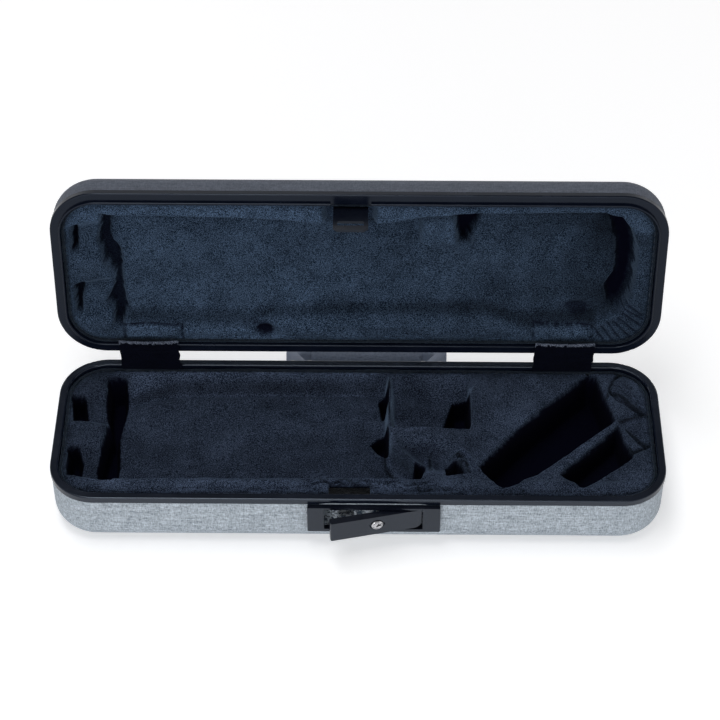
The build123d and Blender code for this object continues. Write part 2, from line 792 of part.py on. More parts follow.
ear_start = hinge_width / 2 - hinge_ear
lid_rim_base = base_height + hinge_ear_start
lid_leaf_low = lid_rim_top + hinge_leaf_gap
for side, centre in hinge_centres.items():
    across = side_plane(Plane.XY, centre)
    with BuildPart() as base_leaf:
        with BuildSketch(across):
            with Locations((leaf_face + hinge_leaf / 2, (hinge_leaf_low + leaf_high) / 2)):
                Rectangle(hinge_leaf, leaf_high - hinge_leaf_low)
        extrude(amount=hinge_width / 2, both=True)
        for reach in (-hinge_width / 2, ear_start):
            with BuildSketch(across.offset(reach)):
                with Locations((ear_face + hinge_strap / 2, (leaf_high - hinge_leaf + hinge_z) / 2)):
                    Rectangle(hinge_strap, hinge_z - leaf_high + hinge_leaf)
                with Locations((hinge_y, hinge_z)):
                    Circle(knuckle_radius)
            extrude(amount=hinge_ear)
        with BuildSketch(across):
            with Locations((hinge_y, hinge_z)):
                Circle(hinge_pin_radius)
        extrude(amount=hinge_width, both=True, mode=Mode.SUBTRACT)
        with BuildSketch(back_plane):
            with Locations(*base_rivets):
                Circle(rivet_radius)
        extrude(amount=3 * hinge_leaf, mode=Mode.SUBTRACT)
    finish(base_leaf, f"hinge_base_leaf_{side}")

    lid_across = side_plane(lid_frame, centre)
    with BuildPart() as lid_leaf:
        with BuildSketch(lid_across):
            with Locations((ear_face + hinge_strap / 2, (lid_rim_base + hinge_z) / 2)):
                Rectangle(hinge_strap, hinge_z - lid_rim_base)
            with Locations((hinge_y, hinge_z)):
                Circle(knuckle_radius)
            with Locations((leaf_face + hinge_leaf / 2, (lid_leaf_low + bend_centre[1]) / 2)):
                Rectangle(hinge_leaf, bend_centre[1] - lid_leaf_low)
        extrude(amount=ear_start - hinge_gap, both=True)
        with BuildSketch(lid_across):
            with BuildLine():
                inside_bend = CenterArc(bend_centre, bend_radius, 0, hinge_wrap)
                outside_bend = CenterArc(bend_centre, bend_radius + hinge_leaf, 0, hinge_wrap)
                Line(inside_bend @ 0, outside_bend @ 0)
                Line(inside_bend @ 1, outside_bend @ 1)
            make_face()
        extrude(amount=hinge_width / 2, both=True)
        with BuildSketch(lid_across):
            with Locations((hinge_y, hinge_z)):
                Circle(hinge_bore_radius)
        extrude(amount=hinge_width, both=True, mode=Mode.SUBTRACT)
        with BuildSketch(lid_rivet_plane):
            with Locations(*lid_rivets):
                Circle(rivet_radius)
        extrude(amount=3 * hinge_leaf, mode=Mode.SUBTRACT)
    finish(lid_leaf, f"hinge_lid_leaf_{side}")

    with BuildPart() as hinge_pin:
        with BuildSketch(across):
            with Locations((hinge_y, hinge_z)):
                Circle(hinge_pin_radius)
        extrude(amount=hinge_width / 2 + hinge_pin_stub, both=True)
    finish(hinge_pin, f"hinge_pin_{side}")

    with BuildPart() as hinge_cover:
        with BuildSketch(across):
            with BuildLine():
                behind = [(y + cover_thickness, z) for y, z in reversed(cover_line)]
                Polyline(*cover_line, *behind, close=True)
            make_face()
        extrude(amount=cover_width / 2, both=True)
    finish(hinge_cover, f"hinge_cover_{side}")

# Handle: a bail on two brackets, which leans on the surface behind the case
droop = radians(handle_droop)
pivot_y = half_depth + handle_pivot_back
handle_frame = Plane(
    origin=(handle_centre, pivot_y, handle_pivot_height),
    x_dir=(1, 0, 0),
    z_dir=(0, cos(droop), sin(droop)),
)
eye_radius = handle_thickness / 2
arm_out = handle_pivot_span / 2 + handle_eye_width / 2
arm_in = handle_pivot_span / 2 - handle_eye_width / 2
bar_near = handle_reach - handle_bar / 2
bar_far = handle_reach + handle_bar / 2
with BuildPart() as handle_bail:
    with BuildSketch(handle_frame):
        with BuildLine():
            right_side = [
                (handle_grip_span / 2, bar_far),
                (arm_out, handle_arm_start),
                (arm_out, 0.0),
                (arm_in, 0.0),
                (arm_in, handle_arm_start),
                (handle_grip_span / 2 - handle_bar, bar_near),
            ]
            left_side = [(-x, y) for x, y in reversed(right_side)]
            Polyline(*right_side, *left_side, close=True)
        make_face()
    extrude(amount=handle_thickness / 2, both=True)
    corners = handle_bail.edges().filter_by(Axis(handle_frame.origin, handle_frame.z_dir))
    outer_corners = corners.filter_by_position(
        Axis(handle_frame.origin, handle_frame.y_dir), bar_near - 1, bar_far + 1
    )
    fillet(outer_corners, handle_corner)
    faces = handle_bail.faces().filter_by(Plane(origin=(0, 0, 0), z_dir=handle_frame.z_dir))
    fillet(faces.edges(), handle_round)
    for centre in (-handle_pivot_span / 2, handle_pivot_span / 2):
        with BuildSketch(side_plane(handle_frame, centre)):
            Circle(eye_radius)
        extrude(amount=handle_eye_width / 2, both=True)
        with BuildSketch(side_plane(handle_frame, centre)):
            Circle(handle_bore_radius)
        extrude(amount=handle_eye_width, both=True, mode=Mode.SUBTRACT)
finish(handle_bail, "handle_bail")

with BuildPart() as handle_grip:
    with BuildSketch(side_plane(handle_frame, 0)):
        with Locations((handle_reach, 0)):
            Circle(handle_grip_radius)
    extrude(amount=handle_grip_length / 2, both=True)
    fillet(handle_grip.edges(), handle_grip_end)
    add(handle_bail.part, mode=Mode.SUBTRACT)
finish(handle_grip, "handle_grip")

ear_offset = handle_eye_width / 2 + bracket_gap
with BuildPart() as handle_pins:
    for centre in bracket_centres.values():
        with BuildSketch(side_plane(Plane.XY, centre)):
            with Locations((pivot_y, handle_pivot_height)):
                Circle(handle_pin_radius)
        extrude(amount=ear_offset + bracket_ear, both=True)
finish(handle_pins, "handle_pins")

for side, centre in bracket_centres.items():
    with BuildPart() as bracket:
        with BuildSketch(back_plane):
            with Locations((-centre, bracket_mid)):
                RectangleRounded(bracket_width, bracket_height, bracket_corner)
        extrude(amount=bracket_plate)
        for reach in (-ear_offset - bracket_ear, ear_offset):
            with BuildSketch(side_plane(Plane.XY, centre + reach)):
                with Locations(((shell_face + pivot_y) / 2, handle_pivot_height)):
                    Rectangle(pivot_y - shell_face, 2 * (eye_radius + bracket_rim))
                with Locations((pivot_y, handle_pivot_height)):
                    Circle(eye_radius + bracket_rim)
            extrude(amount=bracket_ear)
        with BuildSketch(side_plane(Plane.XY, centre)):
            with Locations((pivot_y, handle_pivot_height)):
                Circle(handle_pin_radius)
        extrude(amount=bracket_width, both=True, mode=Mode.SUBTRACT)
        with BuildSketch(back_plane):
            with Locations(*bracket_screws):
                Circle(wall_screw_radius)
        extrude(amount=bracket_plate, mode=Mode.SUBTRACT)
    finish(bracket, f"handle_bracket_{side}")

with BuildPart() as handle_bracket_screws:
    with BuildSketch(back_plane.offset(bracket_plate)):
        with Locations(*bracket_screws):
            Circle(screw_head_radius)
    extrude(amount=screw_head)
    with BuildSketch(back_plane.offset(bracket_plate)):
        with Locations(*bracket_screws):
            Circle(wall_screw_radius)
    extrude(amount=-(bracket_plate + shell_wall))
    with BuildSketch(back_plane.offset(bracket_plate + screw_head)):
        with Locations(*bracket_screws):
            Rectangle(screw_slot_length, screw_slot_width)
            Rectangle(screw_slot_width, screw_slot_length)
    extrude(amount=-screw_slot_depth, mode=Mode.SUBTRACT)
finish(handle_bracket_screws, "handle_bracket_screws")
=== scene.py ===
from math import cos, pi, radians, sin

import bmesh
import bpy
import numpy as np
from mathutils import Matrix, Vector


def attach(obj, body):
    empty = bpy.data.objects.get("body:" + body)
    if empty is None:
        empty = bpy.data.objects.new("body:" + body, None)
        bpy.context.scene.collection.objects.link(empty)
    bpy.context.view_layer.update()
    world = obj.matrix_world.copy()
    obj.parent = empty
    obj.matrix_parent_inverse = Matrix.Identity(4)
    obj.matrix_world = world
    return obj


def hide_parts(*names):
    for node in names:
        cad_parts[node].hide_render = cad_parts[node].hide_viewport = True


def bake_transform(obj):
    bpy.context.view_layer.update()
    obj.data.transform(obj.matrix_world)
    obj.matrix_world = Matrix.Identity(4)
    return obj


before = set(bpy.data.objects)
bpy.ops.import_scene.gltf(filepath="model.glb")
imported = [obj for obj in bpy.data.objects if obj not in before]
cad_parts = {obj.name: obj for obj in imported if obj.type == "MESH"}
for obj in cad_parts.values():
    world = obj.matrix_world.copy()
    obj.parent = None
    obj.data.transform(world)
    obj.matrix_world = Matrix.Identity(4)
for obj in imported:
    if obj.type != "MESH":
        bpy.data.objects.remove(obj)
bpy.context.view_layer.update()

MM = 0.001

# Sizes of the case, in millimetres, as in its source
LENGTH, DEPTH = 360.0, 112.4
BACK_RADIUS, FRONT_RADIUS = 28.0, 27.3
HINGE_Y, HINGE_Z = 58.6, 50.5
OPEN = radians(98.9)
LID_FACE = 40.8

# Velvet: how far its edge lies inside the outline, its levels, and where its sides end
TRAY_INSET, LID_INSET = 6.9, 8.3
TRAY_FACE, TRAY_LEVELS, LID_DEPTHS = 36.7, (8.5, 39.2), (-1.4, 18.0)
TRAY_SKIRT, LID_SKIRT = 7.4, LID_FACE + 19.5
WELL_FLOOR, SLOT_FLOOR, NOTCH_FLOOR, TRENCH_FLOOR, BOX_FLOOR = 23.4, 12.0, 17.0, 10.0, 16.0
SLOPE_TOP, SLOPE_BACK, TRAY_EDGE = 37.2, 50.5, 36.2
ON_TOP, IN_RECESS = 30.0, 6.0
EVEN_LIGHT_AND_TONE, FOLD_LIGHT_AND_SHADE = 0.5, 1.5

# The latch's cup under the tray's velvet, and the opening for the striker
CUP_LEFT, CUP_RIGHT, CUP_BACK = -22.4, 40.9, -40.5
CUP_CLOTH_UNDER, CUP_CLOTH_FACE = 35.4, 36.0
SLIT_LEFT, SLIT_RIGHT, SLIT_BACK = -17.0, 7.4, -42.5


# Shapes as arrays

def smooth(value):
    t = np.clip(value, 0, 1)
    return t * t * (3 - 2 * t)


def bell(value, width):
    """Bell curve, 1 at zero."""
    return np.exp(-((value / width) ** 2))


def blurred(array, across, along):
    """Gaussian blur, with its widths in grid steps."""
    rows = np.fft.fftfreq(array.shape[0])[:, None]
    columns = np.fft.fftfreq(array.shape[1])[None, :]
    kernel = np.exp(-2 * (pi * rows * across) ** 2 - 2 * (pi * columns * along) ** 2)
    return np.real(np.fft.ifft2(np.fft.fft2(array) * kernel))


def lumps(shape, across, along, seed):
    """Smooth random field of unit strength."""
    field = np.random.default_rng(seed).standard_normal(shape)
    field = blurred(field, across, along)
    return field / field.std()


def distance(points, x, y):
    """Signed distance to a polygon, negative inside."""
    best = np.full(x.shape, 1e9)
    inside = np.zeros(x.shape, bool)
    count = len(points)
    for i in range(count):
        ax, ay = points[i]
        bx, by = points[(i + 1) % count]
        ex, ey = bx - ax, by - ay
        t = np.clip(((x - ax) * ex + (y - ay) * ey) / (ex * ex + ey * ey), 0, 1)
        best = np.minimum(best, np.hypot(x - ax - t * ex, y - ay - t * ey))
        crosses = ((ay > y) != (by > y)) & (x < ex * (y - ay) / (ey if ey else 1e-9) + ax)
        inside ^= crosses
    return np.where(inside, -best, best)


def line_distance(points, x, y):
    """Distance to an open line."""
    best = np.full(x.shape, 1e9)
    for (ax, ay), (bx, by) in zip(points[:-1], points[1:]):
        ex, ey = bx - ax, by - ay
        t = np.clip(((x - ax) * ex + (y - ay) * ey) / (ex * ex + ey * ey), 0, 1)
        best = np.minimum(best, np.hypot(x - ax - t * ex, y - ay - t * ey))
    return best


def hollow(z, x, y, points, floor, wall=2.2):
    """Lowers z to floor inside a polygon, with a wall as wide as given."""
    t = smooth(0.5 - distance(points, x, y) / wall)
    return np.minimum(z, z + (floor - z) * t)


def block(left, right, front, back):
    return [(left, front), (right, front), (right, back), (left, back)]


def crease(z, x, y, points, depth, width):
    return z - depth * bell(line_distance(points, x, y), width)


def ridge(z, x, y, points, height, width):
    return z + height * bell(line_distance(points, x, y), width)


def to_outline(x, y, inset):
    """Moves points that lie outside the case's outline, less inset, on to it."""
    half_x, half_y = LENGTH / 2 - inset, DEPTH / 2 - inset
    radius = np.where(y > 0, BACK_RADIUS, FRONT_RADIUS) - inset
    x, y = np.clip(x, -half_x, half_x), np.clip(y, -half_y, half_y)
    cx, cy = np.sign(x) * (half_x - radius), np.sign(y) * (half_y - radius)
    dx, dy = x - cx, y - cy
    corner = (np.abs(x) > half_x - radius) & (np.abs(y) > half_y - radius)
    reach = np.hypot(dx, dy)
    pull = np.where(corner & (reach > radius), radius / np.maximum(reach, 1e-9), 1.0)
    return cx + dx * pull, cy + dy * pull


def edge_distance(x, y, inset=0.0):
    """How far a point lies inside the case's outline."""
    half_x, half_y = LENGTH / 2 - inset, DEPTH / 2 - inset
    radius = np.where(y > 0, BACK_RADIUS, FRONT_RADIUS) - inset
    qx, qy = np.abs(x) - (half_x - radius), np.abs(y) - (half_y - radius)
    outside = np.hypot(np.maximum(qx, 0), np.maximum(qy, 0))
    return radius - outside - np.minimum(np.maximum(qx, qy), 0)


# Linings
#
# Both are height fields over the closed case, in millimetres. An outline or a line is a list
# of (x, y). The tray's z is a height; the lid's d is a depth up into the lid from LID_FACE.
# Each point also carries its painted shade in hollows, and its painted light and shade with a random
# pile tone.

PITCH = 0.62


def grid(inset):
    xs = np.arange(-LENGTH / 2 + inset - PITCH, LENGTH / 2 - inset + 2 * PITCH, PITCH)
    ys = np.arange(-DEPTH / 2 + inset - PITCH, DEPTH / 2 - inset + 2 * PITCH, PITCH)
    x, y = np.meshgrid(xs, ys)
    outside = edge_distance(x, y, inset) < 0
    x, y = to_outline(x, y, inset)
    return x, y, outside


def cloth_over(name, x, y, z, painted_shade, light_and_tone, outside, skirt, place, thin=None, thin_under=0.0):
    """Mesh over a grid of points, with a skirt that closes its sides.

    It keeps each point's painted shade in hollows and its painted light and shade, with a random pile
    tone.
    Where thin is set, the cloth is a sheet with its underside at thin_under.
    """
    rows, columns = x.shape
    corners = np.arange(rows * columns).reshape(rows, columns)
    around = [corners[:-1, :-1], corners[:-1, 1:], corners[1:, 1:], corners[1:, :-1]]
    quads = np.stack(around, -1).reshape(-1, 4)
    flat = outside.reshape(-1)
    quads = quads[~flat[quads].all(1)]
    points = np.stack([x, y, z], -1).reshape(-1, 3)
    sheet = np.zeros(len(quads), bool) if thin is None else thin.reshape(-1)[quads].all(1)
    whole = bmesh.new()
    for chosen, low, solid in ((quads[~sheet], skirt, True), (quads[sheet], thin_under, False)):
        if not len(chosen):
            continue
        part = bpy.data.meshes.new(name)
        part.from_pydata(points.tolist(), [], chosen.tolist())
        for kept, values in (("hollow", painted_shade), ("light_and_tone", light_and_tone)):
            values = np.clip(values, 0, 1).reshape(-1).astype(np.float32)
            part.attributes.new(kept, "FLOAT", "POINT").data.foreach_set("value", values)
        work = bmesh.new()
        work.from_mesh(part)
        bmesh.ops.delete(work, geom=[v for v in work.verts if not v.link_faces], context="VERTS")
        bmesh.ops.remove_doubles(work, verts=work.verts, dist=0.02)
        if solid:
            rim = [e for e in work.edges if e.is_boundary]
            down = bmesh.ops.extrude_edge_only(work, edges=rim)["geom"]
        else:
            down = bmesh.ops.extrude_face_region(work, geom=work.faces[:])["geom"]
        for vertex in (g for g in down if isinstance(g, bmesh.types.BMVert)):
            vertex.co.z = low
        if solid:
            bmesh.ops.holes_fill(work, edges=[e for e in work.edges if e.is_boundary])
        bmesh.ops.recalc_face_normals(work, faces=work.faces)
        work.to_mesh(part)
        work.free()
        whole.from_mesh(part)
        bpy.data.meshes.remove(part)
    mesh = bpy.data.meshes.new(name)
    whole.to_mesh(mesh)
    whole.free()
    mesh.transform(place)
    mesh.polygons.foreach_set("use_smooth", [True] * len(mesh.polygons))
    obj = bpy.data.objects.new(name, mesh)
    bpy.context.scene.collection.objects.link(obj)
    return obj


# Turns a point of the closed lid, in millimetres, to its open place in metres
TO_BASE = Matrix.Scale(MM, 4)
ABOUT_HINGE = Matrix.Translation((0, HINGE_Y, HINGE_Z))
TO_LID = TO_BASE @ ABOUT_HINGE @ Matrix.Rotation(-OPEN, 4, "X") @ ABOUT_HINGE.inverted()


def base_lining():
    x, y, outside = grid(TRAY_INSET)
    inward = edge_distance(x, y, TRAY_INSET)
    shape = x.shape
    top = TRAY_FACE + 0.7 * smooth(inward / 6)
    z = top.copy()
    painted_shade = np.zeros(shape)
    light_and_tone = np.full(shape, EVEN_LIGHT_AND_TONE)
    fuzz = 0.9 * lumps(shape, 1.0, 1.0, 10) + 0.5 * lumps(shape, 2.4, 2.4, 9)
    shaded_hollows = []

    def sink(points, floor, wall=2.2, dark=None, soft=2.0):
        """A hollow; its painted shade is worked out at the end, with an edge as soft as given."""
        nonlocal z
        z = hollow(z, x, y, points, floor, wall)
        if dark is not None:
            shaded_hollows.append((points, dark, soft))

    # The long well, whose back rises in a slope
    foot = np.interp(x, [-144, -128, -111, -60, 16], [30.0, 36.0, 41.2, 42.0, 42.4])
    well = [
        (-144.5, -37.4), (-28, -35.6), (36, -36.0), (38, -33), (30, -20), (20, -9), (16.8, 2),
        (16.8, 60), (-144.5, 60),
    ]
    sink(well, WELL_FLOOR, 2.6)
    rise = smooth((y - foot) / (SLOPE_BACK - foot)) ** 0.8
    slope = WELL_FLOOR + (SLOPE_TOP - WELL_FLOOR) * rise
    band = (x > -146) & (x < 19)
    z = np.where(band, np.maximum(z, np.minimum(slope, top)), z)
    inside = smooth((x + 141) / 6) * smooth((14 - x) / 6)
    z = z - 0.9 * inside * bell(y - foot + 0.6, 1.5)
    # Painted light at the slope's foot, painted shade just above it, and painted light higher up the
    # slope
    light_and_tone = light_and_tone + inside * (0.10 * bell(y - foot, 1.2) - 0.20 * bell(y - foot - 2.6, 2.0))
    light_and_tone = light_and_tone + 0.44 * smooth((y - foot - 3.4) / 4) * inside

    # End block: pockets for keys and the notches for the tenons
    sink([(-166, 27.5), (-149, 31.5), (-149, 6), (-166, 9.5)], 32.0, 6.5)
    sink([(-166, -14), (-149, -10), (-149, -37.5), (-166, -34)], 30.2, 6.5)
    slot_back = [
        (-151.3, 43.4), (-142.4, 44.4), (-141.2, 36), (-141.6, 25), (-143.2, 13), (-144.4, 3),
        (-146.4, 3), (-149.2, 12), (-151.0, 26),
    ]
    slot_front = [
        (-148.6, 4.0), (-144.0, 4.0), (-142.2, -18), (-142.6, -33), (-144.0, -38.9),
        (-150.0, -38.6), (-152.2, -27), (-151.2, -14),
    ]
    sink(slot_back, SLOT_FLOOR, 2.4, 1.0)
    sink(slot_front, SLOT_FLOOR, 2.4, 1.0)
    notch_back = [(-172.4, 28.4), (-165.6, 28.0), (-162.6, 9.0), (-169.4, 8.2)]
    notch_front = [
        (-170.6, -12.2), (-165.6, -13.0), (-162.7, -22.0), (-163.2, -34.2), (-169.9, -34.0),
    ]
    sink(notch_back, NOTCH_FLOOR, 2.2, 1.0)
    sink(notch_front, NOTCH_FLOOR, 2.2, 1.0)

    # Seats for the ends of the joints
    seat_back = 27.0 + 10.2 * smooth((y - 33) / 16)
    seat = block(20.2, 66.4, 4.4, 60)
    t = smooth(0.5 - distance(seat, x, y) / 2.2)
    z = np.minimum(z, z + (seat_back - z) * t)
    z = z + 1.4 * np.exp(-((x - 40) / 13) ** 2 - ((y - 26) / 5) ** 2)
    sink([(57.4, 31.5), (66.0, 33.5), (66.0, 6.6), (50.4, 6.6)], SLOT_FLOOR, 2.4, 1.0)
    beside_seat = [(13.2, 36), (15.4, 38.6), (17.6, 37.4), (17.3, 25), (15.2, 22.8)]
    sink(beside_seat, SLOT_FLOOR, 2.6, 1.0, 2.8)
    under_tongue = [(8.6, 1.4), (12.2, 4.6), (16.6, 7.0), (17.3, 0), (16.6, -7.0), (12.4, -4.2)]
    sink(under_tongue, SLOT_FLOOR, 2.6, 1.0, 3.0)
    bowl_outline = [
        (22.5, 0), (44, -3), (58, -6), (62, -14), (60, -33), (40, -33), (29, -22.5), (21, -12),
    ]
    bowl = distance(bowl_outline, x, y)
    z = np.minimum(z, 37.4 - 6.6 * smooth(-bowl / 10))
    # Painted shade in the bowl's front part
    painted_shade = np.maximum(painted_shade, 0.25 * smooth(-(bowl + 2) / 8) * (x < 48))
    sink([(34.2, -24.0), (38.2, -25.0), (39.0, -31.0), (33.8, -30.6)], 18.0, 2.2, 0.95, 2.8)
    sink([(52.2, -24.4), (58.0, -22), (63.2, -31.2), (52.2, -33.4)], 20.0, 2.2, 0.8)
    z = ridge(z, x, y, [(18.0, 43), (17.8, 30), (18.4, 12), (20.2, 5.5), (23.5, 2.4)], 2.0, 1.1)
    z = ridge(z, x, y, [(21.2, 35), (20.6, 20), (21.6, 8)], 2.3, 1.0)
    z = ridge(z, x, y, [(70.0, 36), (68.6, 33), (68.2, 20), (67.6, 5)], 2.1, 1.0)
    z = ridge(z, x, y, [(22.4, 2.7), (42, 4.1), (50, 5.0)], 1.4, 1.4)
    z = ridge(z, x, y, [(42.0, -17.5), (43.2, -26), (43.6, -34)], 2.6, 1.2)
    z = crease(z, x, y, [(41.4, -17.5), (42.4, -26), (42.4, -34)], 1.0, 0.6)
    ring = [(55.2, -27.5), (56.0, -17.5), (61.5, -15.0), (67.5, -21.0), (71.5, -30.0)]
    z = ridge(z, x, y, ring, 2.0, 1.0)
    z = ridge(z, x, y, [(58.8, -21.5), (64.0, -25.5), (66.0, -31.0)], 2.4, 1.0)
    z = crease(z, x, y, [(57.6, -20.0), (62.5, -18.5), (66.5, -24.0), (68.0, -30.5)], 2.2, 0.9)
    bowl_edge = [(17.6, 0.5), (18.4, -6), (22.5, -14.5), (30, -24), (39.2, -31.6)]
    z = ridge(z, x, y, bowl_edge, 1.0, 1.8)

    # The slanting trench for the bell, and the box beside it
    trench = [
        (71.5, -26.5), (84.5, -43.0), (92, -40.0), (96, -35.5), (104, -32.0), (152.6, 10.8),
        (147.5, 30.5), (143.6, 47.6), (139.0, 48.4), (132, 41.0), (124, 33), (97, 5),
    ]
    small = [(118.8, -32.4), (131.0, -42.8), (161.0, -18.4), (156.6, -6.0), (154.8, 5.6)]
    sink(trench, TRENCH_FLOOR, 2.8, 1.0, 3.6)
    sink(small, BOX_FLOOR, 2.6, 0.97, 2.6)
    high = z > ON_TOP

    def cut(points, depth, width):
        nonlocal z
        z = np.where(high, crease(z, x, y, points, depth, width), z)

    cut([(160.5, 50), (153.4, 43), (151.0, 36), (155, 29), (168.6, 16.0)], 2.8, 1.1)
    cut([(153.6, 41.5), (161, 31.5), (169.4, 20.0)], 1.7, 0.9)
    cut([(151.4, 11), (158, 13.8), (173, 16.4)], 2.4, 1.0)
    cut([(155.6, 9), (163, -3.5), (169.2, -11.2)], 1.9, 0.9)
    cut([(160.2, -17.0), (165, -14.2), (173, -9.5)], 1.9, 0.9)
    pillow = 1.6 * np.exp(-(((x - 163) / 7) ** 2) - ((y - 35) / 9) ** 2)
    sag = 2.4 * smooth(0.5 - distance([(155.4, 10.4), (170, 13), (168, -10)], x, y) / 4)
    z = np.where(high, z + pillow - sag, z)

    # The front bolster, with its folds and the slit for the striker
    bolster = smooth((y + 49.3) / 3.4) * smooth((-36.9 - y) / 3.2)
    z = z + 0.9 * bolster * (z > 34)
    # Painted light on the front bolster, stronger to the left
    light_and_tone = light_and_tone + (0.30 * smooth((40 - x) / 40) + 0.05) * bolster
    plateau = smooth((x - 76) / 10) * smooth((156 - x) / 8) * smooth((y + 34) / 8)
    # Painted shade over the left end block, painted light on the plateau by the trench
    light_and_tone = light_and_tone - 0.17 * smooth((-147 - x) / 4) + 0.10 * plateau
    slit_edge = block(-16.3, 6.7, -50.4, -43.2)
    sink(slit_edge, 23.0, 1.2, 0.88, 2.2)
    wave = -43.4 + 1.1 * np.sin(x / 2.9) + 0.8 * np.sin(x / 1.7 + 1) + 0.8 * np.sin(x / 6.3)
    near = smooth((x + 34) / 8) * smooth((50 - x) / 10)
    z = z + (z > ON_TOP) * near * 2.0 * bell(y - wave, 0.9)
    z = z - (z > ON_TOP) * near * 2.6 * bell(y - wave - 2.1, 1.0)
    z = z - (z > ON_TOP) * near * 1.6 * bell(y - wave + 2.2, 1.0)
    # Painted shade in the crease behind the bolster's waves
    painted_shade = np.maximum(painted_shade, 0.7 * near * bell(y - wave - 2.0, 1.1) * smooth(0.7 + 0.6 * fuzz))
    for points, depth in (
        ([(-110, -45.4), (-90, -46.0), (-68, -45.5)], 2.4),
        ([(-62, -46.2), (-44, -45.4), (-30, -46.8)], 2.8),
        ([(-52, -43.9), (-40, -44.6), (-26, -44.2)], 2.0),
        ([(62, -46.4), (110, -46.8), (150, -46.4)], 1.3),
        ([(-128, -46.6), (-112, -47.2), (-96, -46.9)], 1.6),
        ([(40, -41.4), (46, -44.4), (58, -46.2)], 2.8),
        ([(34, -45.6), (42, -46.8), (54, -46.0)], 2.0),
    ):
        cut(points, depth, 0.75)

    # Gathers at the corners, and the unevenness of cloth over foam
    for cx, cy, sign, count in ((-157, -34, -1, 19), (157, -33, 1, 13)):
        turn = np.arctan2(y - cy, x - cx)
        fan = smooth((np.hypot(x - cx, y - cy) - 6) / 4)
        fan = fan * smooth((sign * (x - cx) + 2) / 5) * smooth((cy + 2 - y) / 5)
        swing = np.sin(turn * count + 0.8 * np.sin(np.hypot(x - cx, y - cy) / 1.9))
        z = z + (1.15 if sign < 0 else 0.35) * fan * swing * (z > ON_TOP)
    z = blurred(z, 0.8, 0.8)
    z = z + 0.26 * lumps(shape, 6, 8, 11) + 0.13 * lumps(shape, 2.4, 2.9, 12)
    z = z + 0.34 * lumps(shape, 1.9, 5.4, 13) * smooth((-37 - y) / 4) * (z > ON_TOP)
    z = np.where(inward < 0.4, np.minimum(z, TRAY_EDGE), z)
    # Painted shade, near black, inside each hollow and down its walls, with a fuzzy edge
    for points, dark, soft in shaded_hollows:
        away = distance(points, x, y)
        lip = smooth(0.5 - (away + 0.2 + 0.5 * fuzz) / soft)
        down = smooth((top - z - 1.0 + 0.5 * fuzz) / 3.2) * (away < 1.4)
        painted_shade = np.maximum(painted_shade, dark * np.maximum(lip, down))
    # Painted shade along the outline, less at the back, then a random tone of the pile
    light_and_tone = light_and_tone - (0.22 - 0.16 * (y > 40)) * smooth((1.8 - inward) / 1.8)
    light_and_tone = light_and_tone + 0.05 * lumps(shape, 9, 12, 14)

    # Folds with painted shade along their creases and painted light along their crests
    for points, change, width in (
        (
            [(18.4, 39.8), (17.1, 28.9), (17.8, 19.9), (20.3, 9.3), (24.2, 4.1), (30.6, 3.2)],
            -0.40, 1.1,
        ),
        ([(20.6, 39.7), (21.0, 31.6), (20.0, 22.6), (22.2, 13.7), (24.8, 6.4)], 0.24, 1.1),
        ([(67.3, 36.5), (65.9, 21.1), (65.0, 5.5)], 0.22, 1.3),
        ([(30.6, 2.4), (39.7, 3.2), (49.4, 6.0), (52.6, 5.2), (64.2, 5.4)], 0.24, 1.4),
        ([(19.2, -2.1), (18.4, -15.1), (22.6, -22.8), (29.4, -28.7), (33.0, -32.0)], 0.24, 1.5),
        ([(16.9, -1.2), (15.9, -9.9), (16.6, -18.5), (20.0, -24.9), (26, -31)], -0.34, 1.1),
        ([(39.7, -15.1), (39.6, -22.7), (40.8, -32.0)], 0.26, 1.0),
        ([(42.2, -15.1), (42.6, -23.5), (43.2, -31.6)], -0.42, 0.9),
        ([(54.1, -17.5), (57.3, -15.7), (61.0, -19.1), (63.4, -25.1), (64.6, -31.0)], -0.42, 1.0),
        ([(52.6, -19.0), (55.4, -14.0), (60.2, -14.2), (65.0, -20.0), (67.4, -27.0)], 0.22, 1.1),
        ([(57.2, -21.7), (60.3, -24.2), (61.4, -30.6)], -0.30, 0.9),
        ([(68.5, -27.5), (90.8, -7.0), (111.1, 15.4), (126.2, 29.5)], 0.16, 2.0),
        ([(92, -38.6), (104, -31.5), (129.2, -10.0), (153.6, 10.6)], 0.20, 1.4),
        ([(159.9, 51.8), (153.2, 40.8), (149.8, 29.9)], -0.42, 1.1),
        ([(151.4, 34.4), (157.6, 29.9), (164.8, 21.0), (172.1, 14.9)], -0.42, 1.1),
        ([(155.5, 9.4), (162.8, 12.4), (172.0, 14.9)], -0.34, 1.1),
        ([(158.9, 3.3), (164.3, -1.9), (170.1, -10.5)], -0.38, 1.1),
        ([(159.4, -12.0), (161.7, -15.8), (167.4, -12.6), (171.4, -9.7)], -0.42, 1.0),
        ([(163.8, 43.7), (167.3, 36.2), (169.3, 28.2)], 0.24, 2.6),
        ([(-143.4, -38.0), (-96.6, -37.7), (-58.8, -36.2), (-23.4, -35.0), (4, -35.2)], 0.16, 1.3),
        ([(5.1, -36.3), (30.4, -32.6), (51.9, -31.8), (64.7, -29.4)], 0.18, 1.3),
        (
            [(-22.1, -37.9), (-15.6, -42.2), (-8.2, -38.4), (-1.8, -42.4), (4.4, -39.4), (9.5, -45.6)],
            -0.36, 1.0,
        ),
        ([(32.8, -40.5), (36.5, -47.1), (42.9, -45.4)], -0.36, 0.9),
    ):
        light_and_tone = light_and_tone + FOLD_LIGHT_AND_SHADE * change * bell(line_distance(points, x, y), width)

    # Over the latch's cup the cloth is a sheet, open where the striker drops in
    cup = (x > CUP_LEFT) & (x < CUP_RIGHT) & (y < CUP_BACK)
    z = np.where(cup, np.maximum(z, CUP_CLOTH_FACE), z)
    outside = outside | ((x > SLIT_LEFT) & (x < SLIT_RIGHT) & (y < SLIT_BACK))
    z = np.clip(z, *TRAY_LEVELS)
    return cloth_over(
        "velvet_base", x, y, z, painted_shade, light_and_tone, outside, TRAY_SKIRT, TO_BASE, cup, CUP_CLOTH_UNDER
    )


